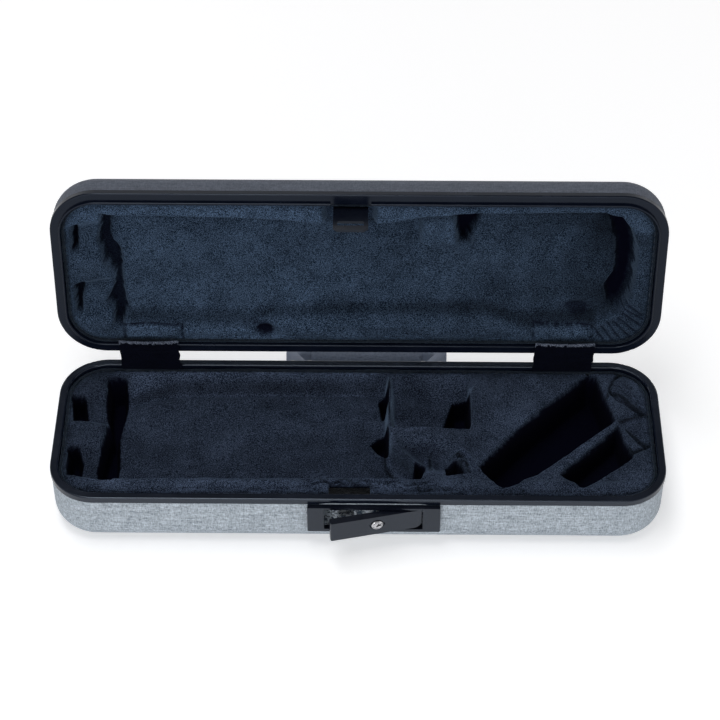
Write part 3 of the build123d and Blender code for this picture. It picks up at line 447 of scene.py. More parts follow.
def lid_lining():
    x, y, outside = grid(LID_INSET)
    inward = edge_distance(x, y, LID_INSET)
    shape = x.shape
    d = np.zeros(shape) + 0.3
    painted_shade = np.zeros(shape)
    fuzz = 0.9 * lumps(shape, 1.0, 1.0, 20) + 0.5 * lumps(shape, 2.4, 2.4, 19)
    # Painted light from the left, fading to the right, and painted shade over both ends
    light_and_tone = 0.56 - 0.26 * smooth((x + 60) / 220)
    light_and_tone = light_and_tone - 0.13 * smooth((-147 - x) / 5) - 0.05 * smooth((x - 156) / 6)

    def dent(points, depth, wall, dark=None, soft=2.6):
        """A hollow in the lid, with painted shade as dark inside and as soft at its edge as given."""
        nonlocal d, painted_shade
        away = distance(points, x, y)
        d = np.maximum(d, d + (depth - d) * smooth(0.5 - away / wall))
        if dark is not None:
            painted_shade = np.maximum(painted_shade, dark * smooth(0.5 - (away + 0.2 + 0.4 * fuzz) / soft))

    # The wide recess, whose back rises in a bolster
    recess = [
        (-149.5, -40.6), (-145.3, -39.8), (-60, -37.4), (-30, -35.2), (-19.7, -34.3),
        (6.9, -33.8), (24, -36.2), (40, -39.4), (71, -41.9), (143, -42.8), (152, -38),
        (158.5, -30), (161.8, -19), (161.4, 4), (158.2, 20), (153, 26), (146, 30.5), (136, 35),
        (102, 37), (-100, 37), (-142.2, 34.6), (-142.8, 4.5), (-144.2, -21),
    ]
    within = distance(recess, x, y)
    crest = np.interp(
        x, [-139, -66, -52, -35, 0, 78, 91, 102, 106, 139],
        [37.6, 38.6, 34.5, 34.0, 32.4, 31.8, 37.0, 39.5, 37.6, 37.8],
    )
    floor = 11.0 - 9.6 * smooth((y - crest + 7.5) / 8.5) * (np.abs(x + 1) < 147)
    d = d + (floor - d) * smooth(0.5 - within / 2.4)
    long = smooth((x + 140) / 4) * smooth((143 - x) / 4)
    middle = smooth((x + 62) / 14) * smooth((96 - x) / 14)
    # Painted shade under the back bolster's crest, painted light on that bolster except in the middle,
    # and on the front bolster, with painted shade under its edge
    light_and_tone = light_and_tone - 0.27 * long * bell(y - crest + 3.8, 3.0)
    light_and_tone = light_and_tone + (0.16 - 0.20 * middle) * long * smooth((y - crest) / 2.5)
    d = d + 0.8 * long * bell(y - crest - 0.2, 0.8)
    front = smooth((-28 - y) / 4)
    light_and_tone = light_and_tone + front * np.where(within > 0, 0.28, -0.28 * bell(within + 2.4, 3.0))

    # End block with its two slots and saddles
    dent([(-165.5, -13), (-147, -10), (-147, -35.5), (-165.5, -31.5)], 5.0, 6.5)
    dent([(-164, 31), (-145, 33.5), (-145, 5), (-164, 8.5)], 5.6, 6.5)
    cleft = [
        (-149.6, -38.4), (-145.8, -35.6), (-145.4, -22.7), (-144.0, -15.8), (-140.6, -8.9),
        (-140.8, 11.3), (-139.8, 25.4), (-138.8, 31.8), (-142.6, 38.4), (-146.4, 38.4),
        (-146.4, 30.3), (-149.6, 23), (-145.2, 12.8), (-144.4, 5.0), (-149.6, -5),
        (-153.0, -19.6), (-151.0, -28.7),
    ]
    dent(cleft, 15.8, 2.6, 0.88, 3.0)
    dent([(-168.4, -13.2), (-165.0, -14.6), (-164.4, -31.4), (-168.2, -31.0)], 12.5, 1.8, 1.0, 1.8)
    slot = [(-168.6, 9.6), (-163.6, 8.4), (-163.4, 13), (-165.2, 24), (-165.8, 30.6), (-168.6, 30)]
    dent(slot, 12.5, 2.0, 0.9, 2.0)

    # Pocket block in the recess, with a deep hole beside it
    pocket_outline = [(36, -43), (66, -43), (66.4, -17.4), (36.2, -17.4)]
    pocket = smooth(0.5 - distance(pocket_outline, x, y) / 2.6)
    # Painted light on the pocket block's left part
    light_and_tone = light_and_tone + 0.16 * pocket * (x < 56)
    face = 5.2 - 2.0 * bell(x - 41.5, 3.0) + 1.6 * bell(x - 47 - (y + 40) * 0.12, 1.6)
    face = face - 1.0 * bell(x - 53, 3.0)
    d = np.where(d > IN_RECESS, d + (face - d) * pocket, d)
    hole = [
        (55.4, -40.4), (71, -41.8), (70.4, -34), (66.5, -26), (62.5, -17.6), (58.4, -18.6),
        (57.4, -26.5),
    ]
    dent(hole, 17.0, 3.0, 1.0, 3.6)
    shallow = bell(line_distance([(31, -38), (31, -20), (29, -8)], x, y), 2.6)
    d = np.where(d > IN_RECESS, d + 2.0 * shallow, d)

    # Right end: a bolster with a deep hollow under it, dimples and pleats
    hollow_right = [
        (143, -40.4), (151.5, -39.6), (157.6, -31), (161.4, -19), (162.2, -8), (161.2, 8),
        (158.2, 20), (154.6, 27), (148.5, 26), (145.5, 15), (151.4, 4), (151.6, -9),
        (149.4, -23), (146.6, -31),
    ]
    dent(hollow_right, 17.0, 4.0, 1.0, 6.0)
    # Painted shade towards the right hollow
    light_and_tone = light_and_tone - 0.2 * smooth((x - 118) / 28) * smooth((160 - x) / 6) * (within < 0)
    for cx, cy, rx, ry, depth, dark in (
        (130, 29.5, 7.5, 3.8, 2.2, 0.6), (-56.5, 41.5, 5.2, 4.4, 5.5, 0.95),
        (-64, 38.5, 7, 2.5, 1.2, 0.3),
    ):
        dip = np.exp(-(((x - cx) / rx) ** 2) - ((y - cy) / ry) ** 2)
        d = d + depth * dip
        # Painted shade in the dimples
        painted_shade = np.maximum(painted_shade, dark * smooth(dip * 1.5 + 0.25 * fuzz * dip))
    for points in (
        [(168.2, 28.4), (159.3, 20.6)], [(169.0, 31.4), (155.5, 22.6)],
        [(168.6, 36.3), (157.1, 27.2)], [(166.2, 40.6), (154.1, 30.4)],
        [(162.6, 44.8), (151.7, 32.8)], [(158.2, 48.2), (148.5, 33.8)],
        [(153.6, 49.6), (144.8, 36.2)], [(148.2, 49.6), (141, 38.4)],
    ):
        pleat = bell(line_distance(points, x, y), 0.85)
        d = d + 1.7 * pleat
        # Painted shade in the pleats
        painted_shade = np.maximum(painted_shade, 0.62 * pleat)

    # Blocks over the hinge flaps
    for left, right, near, fold in ((-140.0, -106.6, 38.2, -120.0), (105.2, 139.0, 37.0, 127.0)):
        box = distance(block(left, right, near, 60), x, y)
        pleat = bell(line_distance([(fold, near), (fold + 1, near + 7)], x, y), 1.0)
        d = d + (0.4 - d) * smooth(0.5 - box / 2.0)
        d = d + 2.4 * bell(box - 0.6, 1.0) + 1.2 * pleat
        # Painted shade round each block's edge and in its pleat, painted light on its top
        painted_shade = np.maximum(painted_shade, 0.8 * bell(box - 0.5, 1.0) * smooth(0.9 + 0.4 * fuzz))
        light_and_tone = light_and_tone + 0.12 * smooth(0.5 - box / 2.0)
        painted_shade = np.maximum(painted_shade, 0.35 * pleat)

    # Room for the striker
    tab_room = [(-22.0, -60), (11.5, -60), (8.5, -33), (-19.5, -33)]
    dent(tab_room, 11.5, 3.0, 0.5, 4.0)
    d = d - 1.3 * bell(distance(tab_room, x, y) - 1.5, 1.8) * (y < -37)
    d = np.where(d < 3, d + 0.8 * bell(y + 45.2, 0.7) * smooth((x - 60) / 20), d)
    for points, depth in (
        ([(-160, -46.5), (-155, -42.5), (-150.5, -40.5)], 1.6),
        ([(-168, -40), (-160, -38.5), (-154, -38.5)], 1.0),
        ([(150, -46), (156, -41), (164, -31), (166.5, -16)], 0.9),
        ([(96, 45.2), (60, 46.2), (10, 45.6)], 0.8),
        ([(-104, 44.6), (-60, 45.8), (-20, 45.0)], 0.9),
    ):
        d = np.where(d < 4, d + depth * bell(line_distance(points, x, y), 0.9), d)
    d = blurred(d, 0.9, 0.9)
    d = d + 0.28 * lumps(shape, 7, 11, 21) + 0.13 * lumps(shape, 2.6, 3.1, 22)
    d = d + 0.42 * lumps(shape, 2.4, 6.0, 23) * smooth((y - 32) / 4)
    edge = smooth(inward / 3.5)
    d = 1.0 - 1.0 * edge + d * edge
    # Painted shade along the outline, then a random tone of the pile
    light_and_tone = light_and_tone - 0.26 * smooth((2.0 - inward) / 2.0) + 0.04 * lumps(shape, 9, 12, 24)
    return cloth_over(
        "velvet_lid", x, y, LID_FACE + np.clip(d, *LID_DEPTHS), painted_shade, light_and_tone, outside, LID_SKIRT, TO_LID
    )


def outline_points(inset, count):
    """Evenly spaced points round the case's outline, less inset."""
    half_x, half_y = LENGTH / 2 - inset, DEPTH / 2 - inset
    back, front = BACK_RADIUS - inset, FRONT_RADIUS - inset
    corners = [
        (half_x - front, -half_y + front, front, -pi / 2),
        (half_x - back, half_y - back, back, 0.0),
        (-half_x + back, half_y - back, back, pi / 2),
        (-half_x + front, -half_y + front, front, pi),
    ]
    dense = []
    for cx, cy, radius, start in corners:
        for step in range(25):
            angle = start + step / 24 * pi / 2
            dense.append((cx + radius * cos(angle), cy + radius * sin(angle)))
    dense.append(dense[0])
    dense = np.array(dense)
    run = np.concatenate([[0], np.cumsum(np.hypot(*np.diff(dense, axis=0).T))])
    at = np.linspace(0, run[-1], count, endpoint=False)
    return np.stack([np.interp(at, run, dense[:, 0]), np.interp(at, run, dense[:, 1])], 1)


def cord_round(name, inset, height, radius, seed, place, gap=None):
    """Sewn cord round the lining, with slight swellings at its stitches."""
    points = outline_points(inset, 900)
    count, sides = len(points), 10
    wobble = lumps((1, count), 0.1, 5, seed)[0]
    step = np.roll(points, -1, 0) - np.roll(points, 1, 0)
    step /= np.hypot(step[:, 0], step[:, 1])[:, None]
    out = np.stack([step[:, 1], -step[:, 0]], 1)
    stitches = 0.10 * np.cos(np.arange(count) * 2 * pi / 5)
    vertices, faces = [], []
    in_gap = np.zeros(count, bool)
    if gap is not None:
        in_gap = (points[:, 0] > gap[0]) & (points[:, 0] < gap[1]) & (points[:, 1] < 0)
    kept = [i for i in range(count) if not in_gap[i]]
    for i in kept:
        size = radius * (1 + 0.06 * wobble[i]) + stitches[i] * 0.6
        for side in range(sides):
            angle = 2 * pi * side / sides
            px, py = points[i] + out[i] * (size * cos(angle) + 0.08 * wobble[i])
            vertices.append((px, py, height + size * sin(angle) + 0.12 * wobble[i]))
    for k, i in enumerate(kept):
        following = (k + 1) % len(kept)
        if (kept[following] - i) % count != 1:
            continue
        for side in range(sides):
            a, b = k * sides + side, k * sides + (side + 1) % sides
            c, d = following * sides + (side + 1) % sides, following * sides + side
            faces.append((a, b, c, d))
    mesh = bpy.data.meshes.new(name)
    mesh.from_pydata(vertices, [], faces)
    work = bmesh.new()
    work.from_mesh(mesh)
    bmesh.ops.holes_fill(work, edges=[e for e in work.edges if e.is_boundary])
    bmesh.ops.recalc_face_normals(work, faces=work.faces)
    work.to_mesh(mesh)
    work.free()
    mesh.transform(place)
    mesh.polygons.foreach_set("use_smooth", [True] * len(mesh.polygons))
    obj = bpy.data.objects.new(name, mesh)
    bpy.context.scene.collection.objects.link(obj)
    return obj


FLAP_HALF_WIDTH, FLAP_THICK, FRINGE = 18.0, 1.4, 1.1


def flap(name, centre, seed):
    """Velvet flap over a hinge: a doubled cloth with a turned, worn edge at its top, in lighter velvet
    as a painted highlight.
    """
    path = np.array([
        (45.2, 66.4), (45.0, 64.0), (45.1, 61.0), (45.6, 57.5), (46.6, 52.5), (47.6, 47.5),
        (48.6, 42.5), (49.3, 37.9),
    ])
    run = np.concatenate([[0], np.cumsum(np.hypot(*np.diff(path, axis=0).T))])
    rows, columns = 64, 76
    at = np.linspace(0, run[-1], rows)
    line_y, line_z = np.interp(at, run, path[:, 0]), np.interp(at, run, path[:, 1])
    u = np.linspace(-1, 1, columns)
    cloth = lumps((rows, columns), 4, 9, seed)
    tufts = lumps((rows, columns), 0.8, 0.8, seed + 50)
    sides = lumps((2, rows), 0.1, 5, seed + 100)
    vertices = []
    for face in (0, 1):
        for i in range(rows):
            for j in range(columns):
                roll = max(0.0, abs(u[j]) - 0.95) / 0.05
                end = max(0.0, 0.9 - at[i]) / 0.9
                half = FLAP_HALF_WIDTH + 0.22 * sides[int(u[j] > 0), i]
                thick = FLAP_THICK * (1 - 0.75 * roll * roll) * (1 - 0.5 * end)
                welt = bell(at[i] - 1.3, 0.9)
                worn = welt * (0.55 + 0.16 * tufts[i, j])
                push = -0.14 * cloth[i, j] - worn if face == 0 else thick
                sag = -1.1 * (1 - u[j] ** 2) * np.exp(-at[i] / 7)
                lift = 0.10 * cloth[i, j] + sag + 0.12 * tufts[i, j] * welt
                vertices.append((centre + half * u[j], line_y[i] + push + 0.35, line_z[i] + lift))
    faces = []
    size = rows * columns
    for face in (0, 1):
        for i in range(rows - 1):
            for j in range(columns - 1):
                a = face * size + i * columns + j
                quad = (a, a + columns, a + columns + 1, a + 1)
                faces.append(quad if face == 0 else quad[::-1])
    mesh = bpy.data.meshes.new(name)
    mesh.from_pydata(vertices, [], faces)
    mesh.materials.append(velvet_flap)
    mesh.materials.append(velvet_fringe_highlight)
    for polygon in mesh.polygons:
        row = polygon.vertices[0] % size // columns
        column = polygon.vertices[0] % columns
        # The top edge takes the lighter velvet, a painted highlight
        side = 2.0 * max(0.0, abs(u[column]) - 0.95) / 0.05 if row < 16 else 0
        reach = FRINGE + 0.45 * tufts[row, column] + side
        polygon.material_index = int(at[row] < reach)
    work = bmesh.new()
    work.from_mesh(mesh)
    loops = [e for e in work.edges if e.is_boundary]
    bmesh.ops.bridge_loops(work, edges=loops)
    bmesh.ops.recalc_face_normals(work, faces=work.faces)
    work.to_mesh(mesh)
    work.free()
    mesh.transform(TO_BASE)
    mesh.polygons.foreach_set("use_smooth", [True] * len(mesh.polygons))
    obj = bpy.data.objects.new(name, mesh)
    bpy.context.scene.collection.objects.link(obj)
    return obj


# Materials

def material(name, color, roughness, metallic=0.0):
    made = bpy.data.materials.new(name)
    made.use_nodes = True
    shader = made.node_tree.nodes["Principled BSDF"]
    shader.inputs["Base Color"].default_value = (*color, 1)
    shader.inputs["Roughness"].default_value = roughness
    shader.inputs["Metallic"].default_value = metallic
    return made, made.node_tree, shader


def place_nodes(tree, closed_lid=False):
    """Object coordinates in metres; for the lid, as if it were shut."""
    source = tree.nodes.new("ShaderNodeTexCoord").outputs["Object"]
    if not closed_lid:
        return source
    turn = tree.nodes.new("ShaderNodeVectorRotate")
    turn.rotation_type = "X_AXIS"
    turn.inputs["Center"].default_value = (0, HINGE_Y * MM, HINGE_Z * MM)
    turn.inputs["Angle"].default_value = OPEN
    tree.links.new(source, turn.inputs["Vector"])
    return turn.outputs["Vector"]


def noise(tree, source, scale, detail=2.0, roughness=0.5, stretch=(1, 1, 1), distortion=0.0):
    if stretch != (1, 1, 1):
        mapping = tree.nodes.new("ShaderNodeMapping")
        mapping.inputs["Scale"].default_value = stretch
        tree.links.new(source, mapping.inputs["Vector"])
        source = mapping.outputs["Vector"]
    node = tree.nodes.new("ShaderNodeTexNoise")
    node.inputs["Scale"].default_value = scale
    node.inputs["Detail"].default_value = detail
    node.inputs["Roughness"].default_value = roughness
    node.inputs["Distortion"].default_value = distortion
    tree.links.new(source, node.inputs["Vector"])
    return node.outputs["Fac"]


def spread(tree, value, low, high, to_low=0.0, to_high=1.0):
    node = tree.nodes.new("ShaderNodeMapRange")
    node.inputs["From Min"].default_value = low
    node.inputs["From Max"].default_value = high
    node.inputs["To Min"].default_value = to_low
    node.inputs["To Max"].default_value = to_high
    tree.links.new(value, node.inputs["Value"])
    return node.outputs["Result"]


def maths(tree, operation, first, second):
    node = tree.nodes.new("ShaderNodeMath")
    node.operation = operation
    for socket, value in zip(node.inputs, (first, second)):
        if isinstance(value, (int, float)):
            socket.default_value = value
        else:
            tree.links.new(value, socket)
    return node.outputs["Value"]


def plus(tree, first, second):
    return maths(tree, "ADD", first, second)


def times(tree, first, second):
    return maths(tree, "MULTIPLY", first, second)


def mixed(tree, factor, first, second):
    node = tree.nodes.new("ShaderNodeMix")
    node.data_type = "RGBA"
    for socket, value in (("A_Color", first), ("B_Color", second)):
        target = next(s for s in node.inputs if s.identifier == socket)
        if isinstance(value, tuple):
            target.default_value = (*value, 1)
        else:
            tree.links.new(value, target)
    tree.links.new(factor, next(s for s in node.inputs if s.identifier == "Factor_Float"))
    return next(s for s in node.outputs if s.identifier == "Result_Color")


def bump(tree, shader, height, strength, depth):
    node = tree.nodes.new("ShaderNodeBump")
    node.inputs["Strength"].default_value = strength
    node.inputs["Distance"].default_value = depth
    tree.links.new(height, node.inputs["Height"])
    tree.links.new(node.outputs["Normal"], shader.inputs["Normal"])


def attribute(tree, name):
    node = tree.nodes.new("ShaderNodeAttribute")
    node.attribute_name = name
    return node.outputs["Fac"]


def scaled(tree, color, factor):
    node = tree.nodes.new("ShaderNodeVectorMath")
    node.operation = "SCALE"
    tree.links.new(color, node.inputs["Vector"])
    tree.links.new(factor, node.inputs["Scale"])
    return node.outputs["Vector"]


# Near-black colour of the painted shade in deep hollows
PAINTED_SHADE_BLACK = (0.0011, 0.0013, 0.0065)


def velvet(name, dark, light, closed_lid=False, sheen=0.26, tint=(0.36, 0.54, 0.80), lining=True):
    """Short pile: lighter specks and brushed patches; on a lining, painted light and shade, and painted
    shade near black in deep hollows.
    """
    made, tree, shader = material(name, light, 0.95)
    source = place_nodes(tree, closed_lid)
    pile = noise(tree, source, 1800, 1.0, 0.6)
    specks = noise(tree, source, 3000, 0.0, 0.5)
    nap = noise(tree, source, 70, 4.0, 0.6)
    both = plus(tree, times(tree, pile, 0.6), times(tree, specks, 0.4))
    both = plus(tree, both, times(tree, maths(tree, "SUBTRACT", nap, 0.5), 0.16))
    color = mixed(tree, spread(tree, both, 0.44, 0.605), dark, light)
    if lining:
        # Painted light and shade from the lining, then painted shade, near black, in its hollows
        color = scaled(tree, color, spread(tree, attribute(tree, "light_and_tone"), 0.0, 1.0, 0.25, 1.75))
        color = mixed(tree, attribute(tree, "hollow"), color, PAINTED_SHADE_BLACK)
    tree.links.new(color, shader.inputs["Base Color"])
    shader.inputs["Sheen Weight"].default_value = sheen
    shader.inputs["Sheen Roughness"].default_value = 0.42
    shader.inputs["Sheen Tint"].default_value = (*tint, 1)
    shader.inputs["Specular IOR Level"].default_value = 0.05
    bump(tree, shader, both, 0.5, 0.0005)
    return made


def linen(name, dark, light, closed_lid=False, charcoal=None):
    made, tree, shader = material(name, light, 0.62)
    source = place_nodes(tree, closed_lid)
    along = noise(tree, source, 1.0, 2.0, 0.6, (420, 1900, 1900))
    upright = noise(tree, source, 1.0, 2.0, 0.6, (1900, 1900, 420))
    slub = noise(tree, source, 1.0, 2.0, 0.5, (60, 700, 700))
    weave = plus(tree, times(tree, along, 0.5), times(tree, upright, 0.5))
    weave = plus(tree, times(tree, weave, 0.8), times(tree, slub, 0.2))
    shade = spread(tree, weave, 0.36, 0.64)
    color = mixed(tree, shade, dark, light)
    if charcoal:
        parts = tree.nodes.new("ShaderNodeSeparateXYZ")
        tree.links.new(source, parts.inputs["Vector"])
        lean = plus(tree, parts.outputs["Y"], times(tree, parts.outputs["Z"], -0.35))
        front = spread(tree, lean, -0.0555, -0.0540, 1.0, 0.0)
        color = mixed(tree, front, color, mixed(tree, shade, charcoal[0], charcoal[1]))
    tree.links.new(color, shader.inputs["Base Color"])
    shader.inputs["Specular IOR Level"].default_value = 0.3
    bump(tree, shader, weave, 0.5, 0.00025)
    return made


def coated(name, dark, light, roughness, shine, tint=(1.0, 1.0, 1.0)):
    """Satin paint with a fine unevenness and faint handling marks."""
    made, tree, shader = material(name, light, roughness)
    shader.inputs["Specular IOR Level"].default_value = shine
    shader.inputs["Specular Tint"].default_value = (*tint, 1)
    source = place_nodes(tree)
    fine = noise(tree, source, 900, 2.0)
    marks = noise(tree, source, 60, 4.0, 0.65)
    color = mixed(tree, spread(tree, marks, 0.3, 0.7), dark, light)
    tree.links.new(color, shader.inputs["Base Color"])
    uneven = spread(tree, marks, 0.3, 0.7, roughness - 0.06, roughness + 0.08)
    tree.links.new(uneven, shader.inputs["Roughness"])
    bump(tree, shader, fine, 0.3, 0.00005)
    return made


def brushed(name, dark, light, roughness=0.3, stretch=(60, 1500, 1500)):
    made, tree, shader = material(name, light, roughness, 1.0)
    source = place_nodes(tree)
    lines = noise(tree, source, 1.0, 3.0, 0.6, stretch)
    color = mixed(tree, spread(tree, lines, 0.3, 0.7), dark, light)
    tree.links.new(color, shader.inputs["Base Color"])
    uneven = spread(tree, lines, 0.3, 0.7, roughness - 0.08, roughness + 0.1)
    tree.links.new(uneven, shader.inputs["Roughness"])
    bump(tree, shader, lines, 0.25, 0.00006)
    return made


def crinkled(name, black_above=None):
    """Bright pressed metal with a hammered, wavy surface, near black above a given height."""
    made, tree, shader = material(name, (0.6, 0.66, 0.72), 0.3, 0.3)
    source = place_nodes(tree)
    waves = noise(tree, source, 330, 3.0, 0.6, (1, 1, 1), 1.6)
    color = mixed(tree, spread(tree, waves, 0.42, 0.56), (0.03, 0.06, 0.10), (0.85, 0.92, 1.0))
    if black_above:
        parts = tree.nodes.new("ShaderNodeSeparateXYZ")
        tree.links.new(source, parts.inputs["Vector"])
        above = spread(tree, parts.outputs["Z"], black_above - 0.001, black_above)
        color = mixed(tree, above, color, (0.004, 0.005, 0.008))
    tree.links.new(color, shader.inputs["Base Color"])
    bump(tree, shader, waves, 0.9, 0.0012)
    return made


def foam(name):
    made, tree, shader = material(name, (0.05, 0.05, 0.055), 0.95)
    source = place_nodes(tree)
    cells = tree.nodes.new("ShaderNodeTexVoronoi")
    cells.inputs["Scale"].default_value = 700
    tree.links.new(source, cells.inputs["Vector"])
    color = mixed(tree, cells.outputs["Distance"], (0.02, 0.02, 0.024), (0.08, 0.08, 0.085))
    tree.links.new(color, shader.inputs["Base Color"])
    bump(tree, shader, cells.outputs["Distance"], 0.6, 0.0005)
    return made


def rubbery(name):
    made, tree, shader = material(name, (0.2, 0.23, 0.3), 0.8)
    shader.inputs["Specular IOR Level"].default_value = 0.12
    source = place_nodes(tree)
    cells = tree.nodes.new("ShaderNodeTexVoronoi")
    cells.inputs["Scale"].default_value = 620
    cells.distance = "MANHATTAN"
    tree.links.new(source, cells.inputs["Vector"])
    color = mixed(tree, cells.outputs["Distance"], (0.17, 0.196, 0.256), (0.23, 0.26, 0.33))
    tree.links.new(color, shader.inputs["Base Color"])
    bump(tree, shader, cells.outputs["Distance"], 0.5, 0.0003)
    return made


BASE_PILE = ((0.0015, 0.003, 0.007), (0.053, 0.073, 0.119))
LID_PILE = ((0.002, 0.005, 0.011), (0.064, 0.102, 0.168))
velvet_base = velvet("velvet_tray", *BASE_PILE)
velvet_lid = velvet("velvet_cover", *LID_PILE, True)
# Shaded copies without sheen, for the faces deep in painted shade
velvet_base_shaded = velvet("velvet_tray_shaded", *BASE_PILE, sheen=0.0)
velvet_lid_shaded = velvet("velvet_cover_shaded", *LID_PILE, True, sheen=0.0)
CORD_PILE = ((0.004, 0.006, 0.010), (0.020, 0.027, 0.038))
FLAP_PILE = ((0.0006, 0.0009, 0.0034), (0.0022, 0.003, 0.010))
FRINGE_HIGHLIGHT_PILE = ((0.02, 0.026, 0.042), (0.14, 0.16, 0.21))
velvet_cord = velvet("velvet_cord", *CORD_PILE, sheen=0.3, lining=False)
velvet_flap = velvet("velvet_flap", *FLAP_PILE, sheen=0.03, lining=False)
velvet_fringe_highlight = velvet("velvet_fringe_highlight", *FRINGE_HIGHLIGHT_PILE, sheen=0.2, lining=False)
LINEN = ((0.17, 0.203, 0.24), (0.66, 0.735, 0.81))
linen_base = linen("linen_tray", *LINEN)
linen_lid = linen("linen_cover", *LINEN, True, ((0.042, 0.05, 0.068), (0.125, 0.143, 0.185)))
BLUISH = (0.72, 0.84, 1.0)
RIM = ((0.002, 0.0035, 0.009), (0.004, 0.006, 0.014))
LATCH = ((0.003, 0.004, 0.008), (0.006, 0.007, 0.014))
STRIKER = ((0.003, 0.004, 0.009), (0.005, 0.007, 0.013))
HANDLE = ((0.19, 0.22, 0.285), (0.235, 0.265, 0.34))
rim_black = coated("rim_black", *RIM, 0.2, 0.72, BLUISH)
# The lid's rim is the same paint with less shine, a shaded copy that reflects less
rim_black_lid_shaded = coated("rim_black_lid_shaded", *RIM, 0.2, 0.3, BLUISH)
latch_black = coated("latch_black", *LATCH, 0.2, 0.66, BLUISH)
handle_grey = coated("handle_grey", *HANDLE, 0.8, 0.12)
striker_black = coated("striker_black", *STRIKER, 0.3, 0.4, BLUISH)
steel = brushed("steel", (0.34, 0.35, 0.37), (0.52, 0.53, 0.55))
steel_dark = brushed("steel_dark", (0.02, 0.02, 0.023), (0.06, 0.06, 0.066), 0.38)
bright = crinkled("bright_hook")
CUP_BLACK_ABOVE = 0.026
bright_cup = crinkled("bright_cup", CUP_BLACK_ABOVE)
lock_bright = brushed("lock_bright", (0.5, 0.5, 0.52), (0.8, 0.8, 0.82), 0.18, (900, 60, 900))
foam_dark = foam("foam_dark")
grip_rubber = rubbery("grip_rubber")

worn_by = (
    (linen_base, "base_shell"), (linen_lid, "lid_shell"),
    (rim_black, "base_rim"), (rim_black_lid_shaded, "lid_rim"),
    (velvet_cord, "base_lining lid_lining base_piping lid_piping"),
    (latch_black, "latch_plate latch_lever handle_bracket_left handle_bracket_right"),
    (bright_cup, "latch_housing"), (bright, "latch_hook"), (lock_bright, "lock_cylinder"),
    (steel, "latch_pin lock_cam handle_pins hinge_pin_left hinge_pin_right"),
    (steel, "hinge_base_rivets hinge_lid_rivets"),
    (steel_dark, "latch_screws striker_screws handle_bracket_screws"), (striker_black, "striker_plate"),
    (handle_grey, "handle_bail"), (grip_rubber, "handle_grip"),
    (velvet_flap, "hinge_cover_left hinge_cover_right"),
)
finishes = {name: finish for finish, names in worn_by for name in names.split()}
for name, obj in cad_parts.items():
    finish = finishes.get(name, foam_dark if "foam" in name else steel_dark)
    for index in range(max(1, len(obj.material_slots))):
        if obj.material_slots:
            obj.material_slots[index].material = finish
        else:
            obj.data.materials.append(finish)


NO_SHEEN_FROM = 0.45


def wear_velvet(piece, surface, painted_shade):
    """Gives the faces deep in painted shade the shaded copy of the velvet, which has no sheen."""
    mesh = piece.data
    mesh.materials.append(surface)
    mesh.materials.append(painted_shade)
    values = np.zeros(len(mesh.vertices), np.float32)
    mesh.attributes["hollow"].data.foreach_get("value", values)
    for face in mesh.polygons:
        if values[list(face.vertices)].mean() > NO_SHEEN_FROM:
            face.material_index = 1


# Soft pieces
PIPING_RADIUS = 0.9
tray_velvet = base_lining()
wear_velvet(tray_velvet, velvet_base, velvet_base_shaded)
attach(tray_velvet, "base")
foam_nodes = [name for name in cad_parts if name.startswith("base_foam")]
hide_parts("base_lining", *foam_nodes)

cover_velvet = lid_lining()
wear_velvet(cover_velvet, velvet_lid, velvet_lid_shaded)
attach(cover_velvet, "lid")
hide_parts("lid_lining", "lid_foam")

tray_cord = cord_round("cord_base", 6.0, TRAY_FACE, PIPING_RADIUS, 31, TO_BASE, (-17.6, 8.0))
tray_cord.data.materials.append(velvet_cord)
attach(tray_cord, "base")
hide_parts("base_piping")

cover_cord = cord_round("cord_lid", 7.4, 41.4, PIPING_RADIUS, 32, TO_LID)
cover_cord.data.materials.append(velvet_cord)
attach(cover_cord, "lid")
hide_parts("lid_piping")

for side, centre, seed in (("left", -126.0, 41), ("right", 123.5, 42)):
    piece = flap(f"flap_{side}", centre, seed)
    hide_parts(f"hinge_cover_{side}")
    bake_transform(piece)

# Camera: the photograph's angle, fitted to the case's two rims
PICTURE_PX, SENSOR_MM = 720, 36.0
tilt, range_mm, focal_px = radians(45.62), 1384.0, 2268.0
look = Vector((0, cos(tilt), -sin(tilt)))
up = Vector((0, sin(tilt), cos(tilt)))
target = Vector((0, DEPTH / 2, 40.0))
SIDEWAYS, UPWARDS, YAW = 0.55, 0.24, 0.49
seat = target - look * range_mm + Vector((SIDEWAYS, 0, 0)) + up * UPWARDS
yaw = Matrix.Rotation(radians(YAW), 3, "Z")
seat = target + yaw @ (seat - target)
look, up = yaw @ look, yaw @ up
axes = Matrix((look.cross(up), up, -look)).transposed()
camera_data = bpy.data.cameras.new("camera")
camera_data.sensor_fit = "HORIZONTAL"
camera_data.sensor_width = SENSOR_MM
camera_data.lens = focal_px / PICTURE_PX * SENSOR_MM
camera_data.clip_start, camera_data.clip_end = 0.05, 50
camera = bpy.data.objects.new("camera", camera_data)
camera.matrix_world = Matrix.Translation(seat * MM) @ axes.to_4x4()
bpy.context.scene.collection.objects.link(camera)
bpy.context.scene.camera = camera

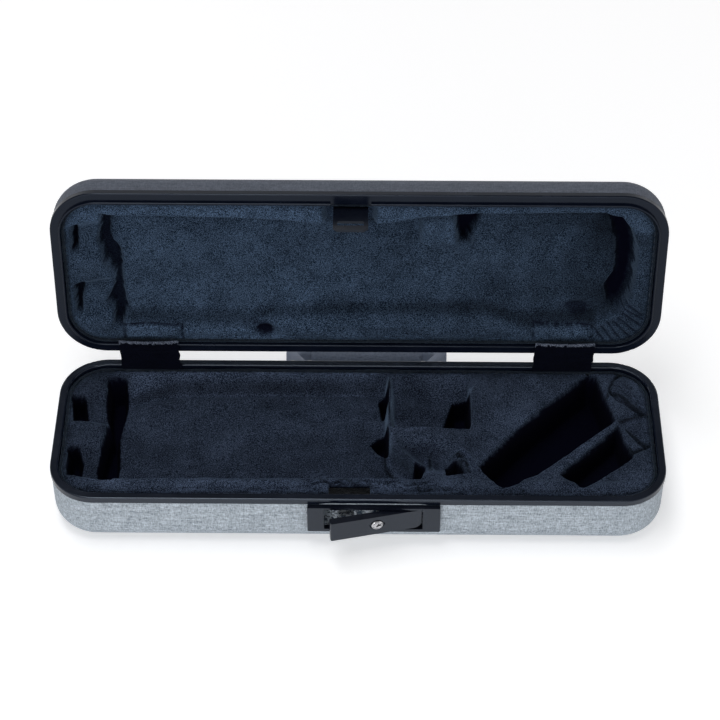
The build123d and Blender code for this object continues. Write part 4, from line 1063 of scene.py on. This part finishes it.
# Floor: how brightly it shows to the camera and in mirrors beyond its own lit white
FLOOR_GLOW, FLOOR_MIRRORED = 0.42, 0.2
floor_mesh = bpy.data.meshes.new("floor")
floor_mesh.from_pydata([(-6, -6, 0), (6, -6, 0), (6, 6, 0), (-6, 6, 0)], [], [(0, 1, 2, 3)])
floor = bpy.data.objects.new("floor", floor_mesh)
floor.location.z = -0.0002
bpy.context.scene.collection.objects.link(floor)
floor_made, floor_tree, floor_shader = material("floor_white", (0.88, 0.88, 0.89), 0.9)
floor_shader.inputs["Specular IOR Level"].default_value = 0.0
floor_shader.inputs["Emission Color"].default_value = (1, 1, 1, 1)
floor_path = floor_tree.nodes.new("ShaderNodeLightPath")
floor_seen = floor_path.outputs["Is Camera Ray"]
floor_mirrored = maths(
    floor_tree, "MAXIMUM",
    floor_path.outputs["Is Glossy Ray"], floor_path.outputs["Is Transmission Ray"],
)
floor_white = maths(
    floor_tree, "MAXIMUM", times(floor_tree, floor_seen, FLOOR_GLOW),
    times(floor_tree, floor_mirrored, FLOOR_MIRRORED),
)
floor_tree.links.new(floor_white, floor_shader.inputs["Emission Strength"])
floor_mesh.materials.append(floor_made)

# A pale studio, white at the horizon and dim above
world = bpy.data.worlds.new("studio")
world.use_nodes = True
bpy.context.scene.world = world
world_tree = world.node_tree
backdrop = world_tree.nodes["Background"]
direction = world_tree.nodes.new("ShaderNodeTexCoord").outputs["Generated"]
parts = world_tree.nodes.new("ShaderNodeSeparateXYZ")
world_tree.links.new(direction, parts.inputs["Vector"])
sky = spread(world_tree, parts.outputs["Z"], 0.22, 0.62, 1.0, 0.14)
world_tree.links.new(sky, backdrop.inputs["Strength"])
backdrop.inputs["Color"].default_value = (1.0, 1.0, 1.0, 1)


def lamp(name, location, aim, size, power):
    data = bpy.data.lights.new(name, "AREA")
    data.shape = "RECTANGLE"
    data.size, data.size_y = size
    data.energy = power
    obj = bpy.data.objects.new(name, data)
    obj.location = location
    obj.rotation_euler = (Vector(aim) - Vector(location)).to_track_quat("-Z", "Y").to_euler()
    bpy.context.scene.collection.objects.link(obj)


# Soft boxes overhead and in front
lamp("overhead", (-0.25, -0.05, 1.7), (0, 0, 0), (1.3, 0.6), 13.0)
lamp("front", (-0.2, -2.0, 0.55), (0, 0, 0.06), (1.8, 0.7), 9.0)

bpy.context.scene.view_settings.view_transform = "Standard"
